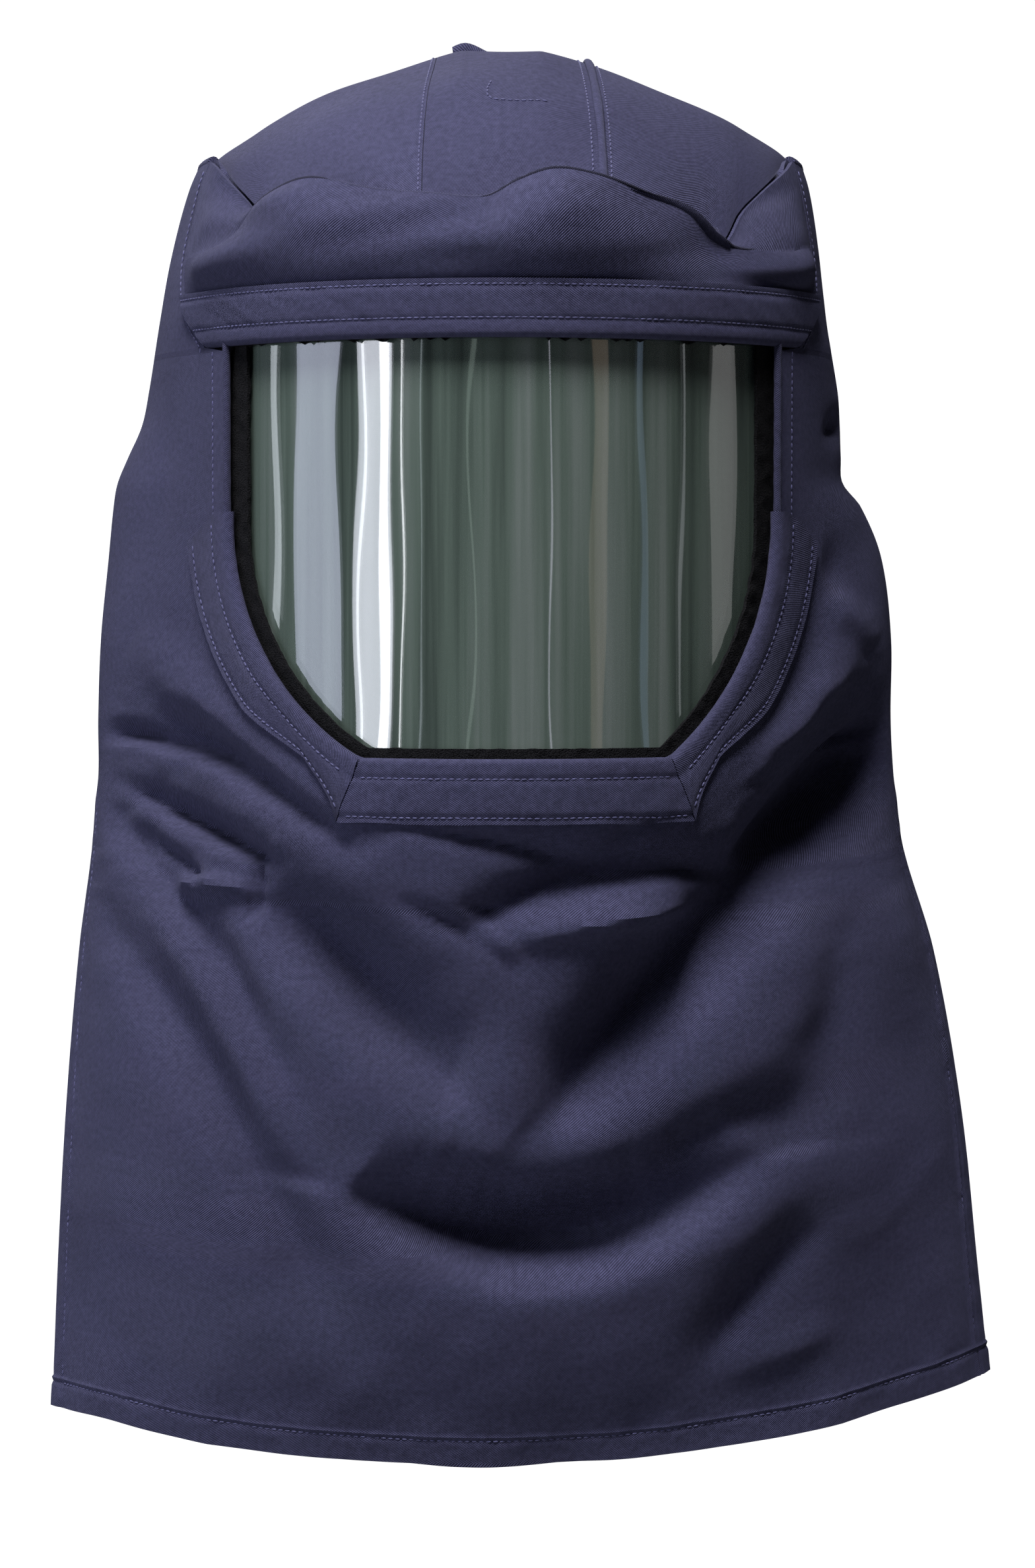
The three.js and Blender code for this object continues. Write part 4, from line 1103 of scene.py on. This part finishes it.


# A tint below 1 makes a darker copy of the twill, used as painted shade on the window's lips and on the
# brow's crease rolls
def twillMaterial(name, tint=1.0):
    material, nodes, links = newMaterial(name)
    shader = nodes["Principled BSDF"]
    setInputs(shader, Roughness=0.88, Specular_IOR_Level=0.15, Sheen_Weight=0.1, Sheen_Roughness=0.55,
              Sheen_Tint=twill["sheen"])
    uv = node(nodes, "ShaderNodeUVMap").outputs["UV"]
    turn = (0, 0, radians(twill["angle"]))
    slanted = texture(nodes, links, "ShaderNodeMapping", uv, in_Rotation=turn).outputs["Vector"]
    ribs = texture(nodes, links, "ShaderNodeTexWave", slanted, wave_type="BANDS", bands_direction="X",
                   in_Scale=twill["band"] / twill["rib"], in_Distortion=0.6, in_Detail=1.0).outputs["Fac"]
    yarn = texture(nodes, links, "ShaderNodeTexWave", slanted, wave_type="BANDS", bands_direction="Y",
                   in_Scale=twill["band"] / twill["yarn"]).outputs["Fac"]

    def noise(scale, detail, roughness=0.5):
        return texture(nodes, links, "ShaderNodeTexNoise", uv, in_Scale=scale, in_Detail=detail,
                       in_Roughness=roughness).outputs["Fac"]

    valley, color = ([tint * c for c in twill[part]] for part in ("valley", "color"))
    cloth = ramp(nodes, links, ribs, [(0.1, valley), (0.75, color)])
    # A felted mottle, a few millimetres across, where the yarn has pilled, and wide worn clouds
    cloth = multiplied(nodes, links, cloth, ramp(nodes, links, noise(330, 4, 0.75), twill["mottle"]))
    cloth = multiplied(nodes, links, cloth, ramp(nodes, links, noise(11, 5, 0.6), twill["fade"]))
    # Lint: a few pale specks and short fibres caught on the cloth
    linted = node(nodes, "ShaderNodeMix", data_type="RGBA", blend_type="MIX")
    links.new(ramp(nodes, links, noise(420, 3, 0.7), twill["speck"]), linted.inputs["Factor"])
    links.new(cloth, linted.inputs[6])
    linted.inputs[7].default_value = twill["lint"]
    links.new(linted.outputs[2], shader.inputs["Base Color"])
    height = raised(nodes, links, yarn, 0.3, ribs)
    height = raised(nodes, links, noise(900, 2), 0.8, height)
    bumped(nodes, links, height, twill["bump"], twill["relief"])
    return material


navyTwill = twillMaterial("navyTwill")
# A darker copy of the twill for the rolled lips round the window: painted shade where the cloth turns in at
# the window's edge
navyShadedLip = twillMaterial("navyShadedLip", 0.8)
# The darkest copy of the twill: painted shade for the rolls that stand in for the shadow under the brow's
# crest
navyCreaseShade = twillMaterial("navyCreaseShade", 0.35)

threadMaterial, nodes, links = newMaterial("navyThread")
shader = nodes["Principled BSDF"]
setInputs(shader, Roughness=0.6, Sheen_Weight=0.2)
coords = node(nodes, "ShaderNodeTexCoord").outputs["Object"]
strands = texture(nodes, links, "ShaderNodeTexNoise", coords, in_Scale=1200, in_Detail=2).outputs["Fac"]
threadColor = ramp(nodes, links, strands, [(0.3, (0.06, 0.06, 0.15)), (0.7, (0.11, 0.11, 0.27))])
links.new(threadColor, shader.inputs["Base Color"])

tapeMaterial, nodes, links = newMaterial("blackTape")
shader = nodes["Principled BSDF"]
setInputs(shader, Roughness=0.95, Specular_IOR_Level=0.15)
coords = node(nodes, "ShaderNodeTexCoord").outputs["Object"]
loops = texture(nodes, links, "ShaderNodeTexVoronoi", coords, in_Scale=1500).outputs["Distance"]
loopColor = ramp(nodes, links, loops, [(0.1, (0.014, 0.014, 0.017)), (0.7, (0.003, 0.003, 0.004))])
links.new(loopColor, shader.inputs["Base Color"])
bumped(nodes, links, loops, 0.9, 0.0005)

# The tint is low in alpha, and drawn out downwards in faint streaks
shieldLook = {
    "alpha": 0.6, "ior": 2.9, "roughness": 0.035, "stretch": (1, 1, 0.02),
    "tint": [(0.32, (0.045, 0.065, 0.058)), (0.5, (0.15, 0.205, 0.178)), (0.68, (0.27, 0.32, 0.31))],
}
shieldMaterial, nodes, links = newMaterial("tintedShield")
shader = nodes["Principled BSDF"]
setInputs(shader, Roughness=shieldLook["roughness"], IOR=shieldLook["ior"], Alpha=shieldLook["alpha"])
coords = node(nodes, "ShaderNodeTexCoord").outputs["Object"]
upright = texture(nodes, links, "ShaderNodeMapping", coords, in_Scale=shieldLook["stretch"]).outputs["Vector"]
streaks = texture(nodes, links, "ShaderNodeTexNoise", upright, in_Scale=70, in_Detail=4, in_Roughness=0.6)
links.new(ramp(nodes, links, streaks.outputs["Fac"], shieldLook["tint"]), shader.inputs["Base Color"])
shieldMaterial.surface_render_method = "BLENDED"

setMaterial(navyTwill, frontPanel, backPanel, browCloth, crownStrip, crownRight, crownLeft, rearTab,
            topBinding, rightBinding, leftBinding, bottomBinding, crownWelt, rimWelt, frontHem, backHem,
            sideHemRight, sideHemLeft)
# The lips and edge folds get the painted shade copy of the twill
setMaterial(navyShadedLip, topLip, lowerLip, *sideEdges)
# The crease rolls get the painted shade copy of the twill
setMaterial(navyCreaseShade, *browCreaseShadows)
setMaterial(threadMaterial, topStitches, bottomStitches, sideStitches, hemStitches, backStitches,
            crownStitches, legStitches)
setMaterial(tapeMaterial, tapeRing)
setMaterial(shieldMaterial, shieldPane)

print("stage and light")
stage = {
    "color": (0.5, 0.5, 0.5, 1), "roughness": 0.9, "world": 0.014,
    "floor": -1.62, "floorSize": 5.9, "floorGlow": 0.05,
    "wall": 3, "wallMiddle": -0.52, "wallWidth": 1.5, "wallHeight": 2.15, "wallGlow": 1,
}


def stagePlane(name, place, turn, width, length, glow):
    deselect()
    bpy.ops.mesh.primitive_plane_add(size=1, location=place, rotation=(turn, 0, 0))
    plane = bpy.context.object
    plane.name = name
    bpy.ops.transform.resize(value=(width, 1, 1))
    bpy.ops.transform.resize(value=(1, length, length))
    bpy.ops.object.transform_apply(location=True, rotation=True, scale=True)
    material, nodes, _ = newMaterial(name)
    setInputs(nodes["Principled BSDF"], Base_Color=stage["color"], Roughness=stage["roughness"],
              Emission_Color=(1, 1, 1, 1), Emission_Strength=glow)
    setMaterial(material, plane)


stagePlane("studioFloor", (0, 0, stage["floor"]), 0, stage["floorSize"], stage["floorSize"],
           stage["floorGlow"])
stagePlane("studioWall", (0, stage["wall"], stage["wallMiddle"]), radians(90), stage["wallWidth"],
           stage["wallHeight"], stage["wallGlow"])

world = bpy.data.worlds.new("studio")
bpy.context.scene.world = world
world.use_nodes = True
setInputs(world.node_tree.nodes["Background"], Color=(1, 1, 1, 1), Strength=stage["world"])

# Area lamps. around is the angle from the camera's side to the wearer's right, and up the angle over the
# middle of the hood, both in degrees. glow is the lamp's radiance, and spread its beam's width in degrees.
lamps = [
    # name, around, up, distance, width, height, glow, spread, color
    ("key", 14, 61, 2.1, 0.85, 0.75, 6.6, 80, (1, 0.99, 0.98)),
    ("rear", 168, 38, 2.3, 0.9, 0.9, 2.2, 120, (1, 0.99, 0.98)),
    ("streakOne", 41, -2, 2.4, 0.03, 1.5, 5, 180, (0.93, 0.95, 1)),
    ("streakTwo", 52, -2, 2.4, 0.56, 1.5, 3.2, 180, (0.86, 0.89, 1)),
    ("streakCore", 48, -2, 2.4, 0.13, 1.5, 6, 180, (0.95, 0.96, 1)),
    ("streakThree", 56, -2, 2.4, 0.05, 1.5, 3, 180, (0.93, 0.95, 1)),
    ("leftPanel", 76, 0, 2.4, 0.86, 1.4, 1.9, 180, (0.74, 0.79, 1)),
    ("farPanel", 95, 0, 2.4, 0.14, 1.3, 2, 180, (0.85, 0.92, 1)),
    ("thinOne", 32, -2, 2.4, 0.02, 1.2, 1.1, 180, (0.8, 0.9, 1)),
    ("thinTwo", 12, -2, 2.6, 0.05, 1.2, 0.35, 180, (0.8, 1, 0.9)),
    ("thinThree", -20, -2, 2.6, 0.03, 1, 1.3, 180, (0.85, 0.85, 1)),
    ("brownStrip", -38, -2, 2.4, 0.3, 1.2, 0.22, 180, (1, 0.74, 0.52)),
    ("blueStrip", -57, -2, 2.4, 0.1, 1.2, 0.35, 180, (0.5, 0.7, 1)),
    ("rightStrip", -74, -2, 2.4, 0.05, 1.2, 0.6, 180, (0.9, 0.95, 1)),
    ("rightPanel", -92, 0, 2.4, 0.5, 1.3, 0.45, 180, (1, 1, 1)),
]
aim = Vector((0, -0.1, -0.3))
for name, around, up, distance, width, height, glow, spread, color in lamps:
    level = cos(radians(up))
    toLamp = Vector((-sin(radians(around)) * level, -cos(radians(around)) * level, sin(radians(up))))
    bpy.ops.object.light_add(type="AREA", location=aim + toLamp * distance)
    lamp = bpy.context.object
    lamp.name = name
    lamp.rotation_euler = (-toLamp).to_track_quat("-Z", "Y").to_euler()
    lamp.data.shape = "RECTANGLE"
    lamp.data.size, lamp.data.size_y = width, height
    lamp.data.energy = glow * pi * width * height
    lamp.data.color = color
    lamp.data.spread = radians(spread)
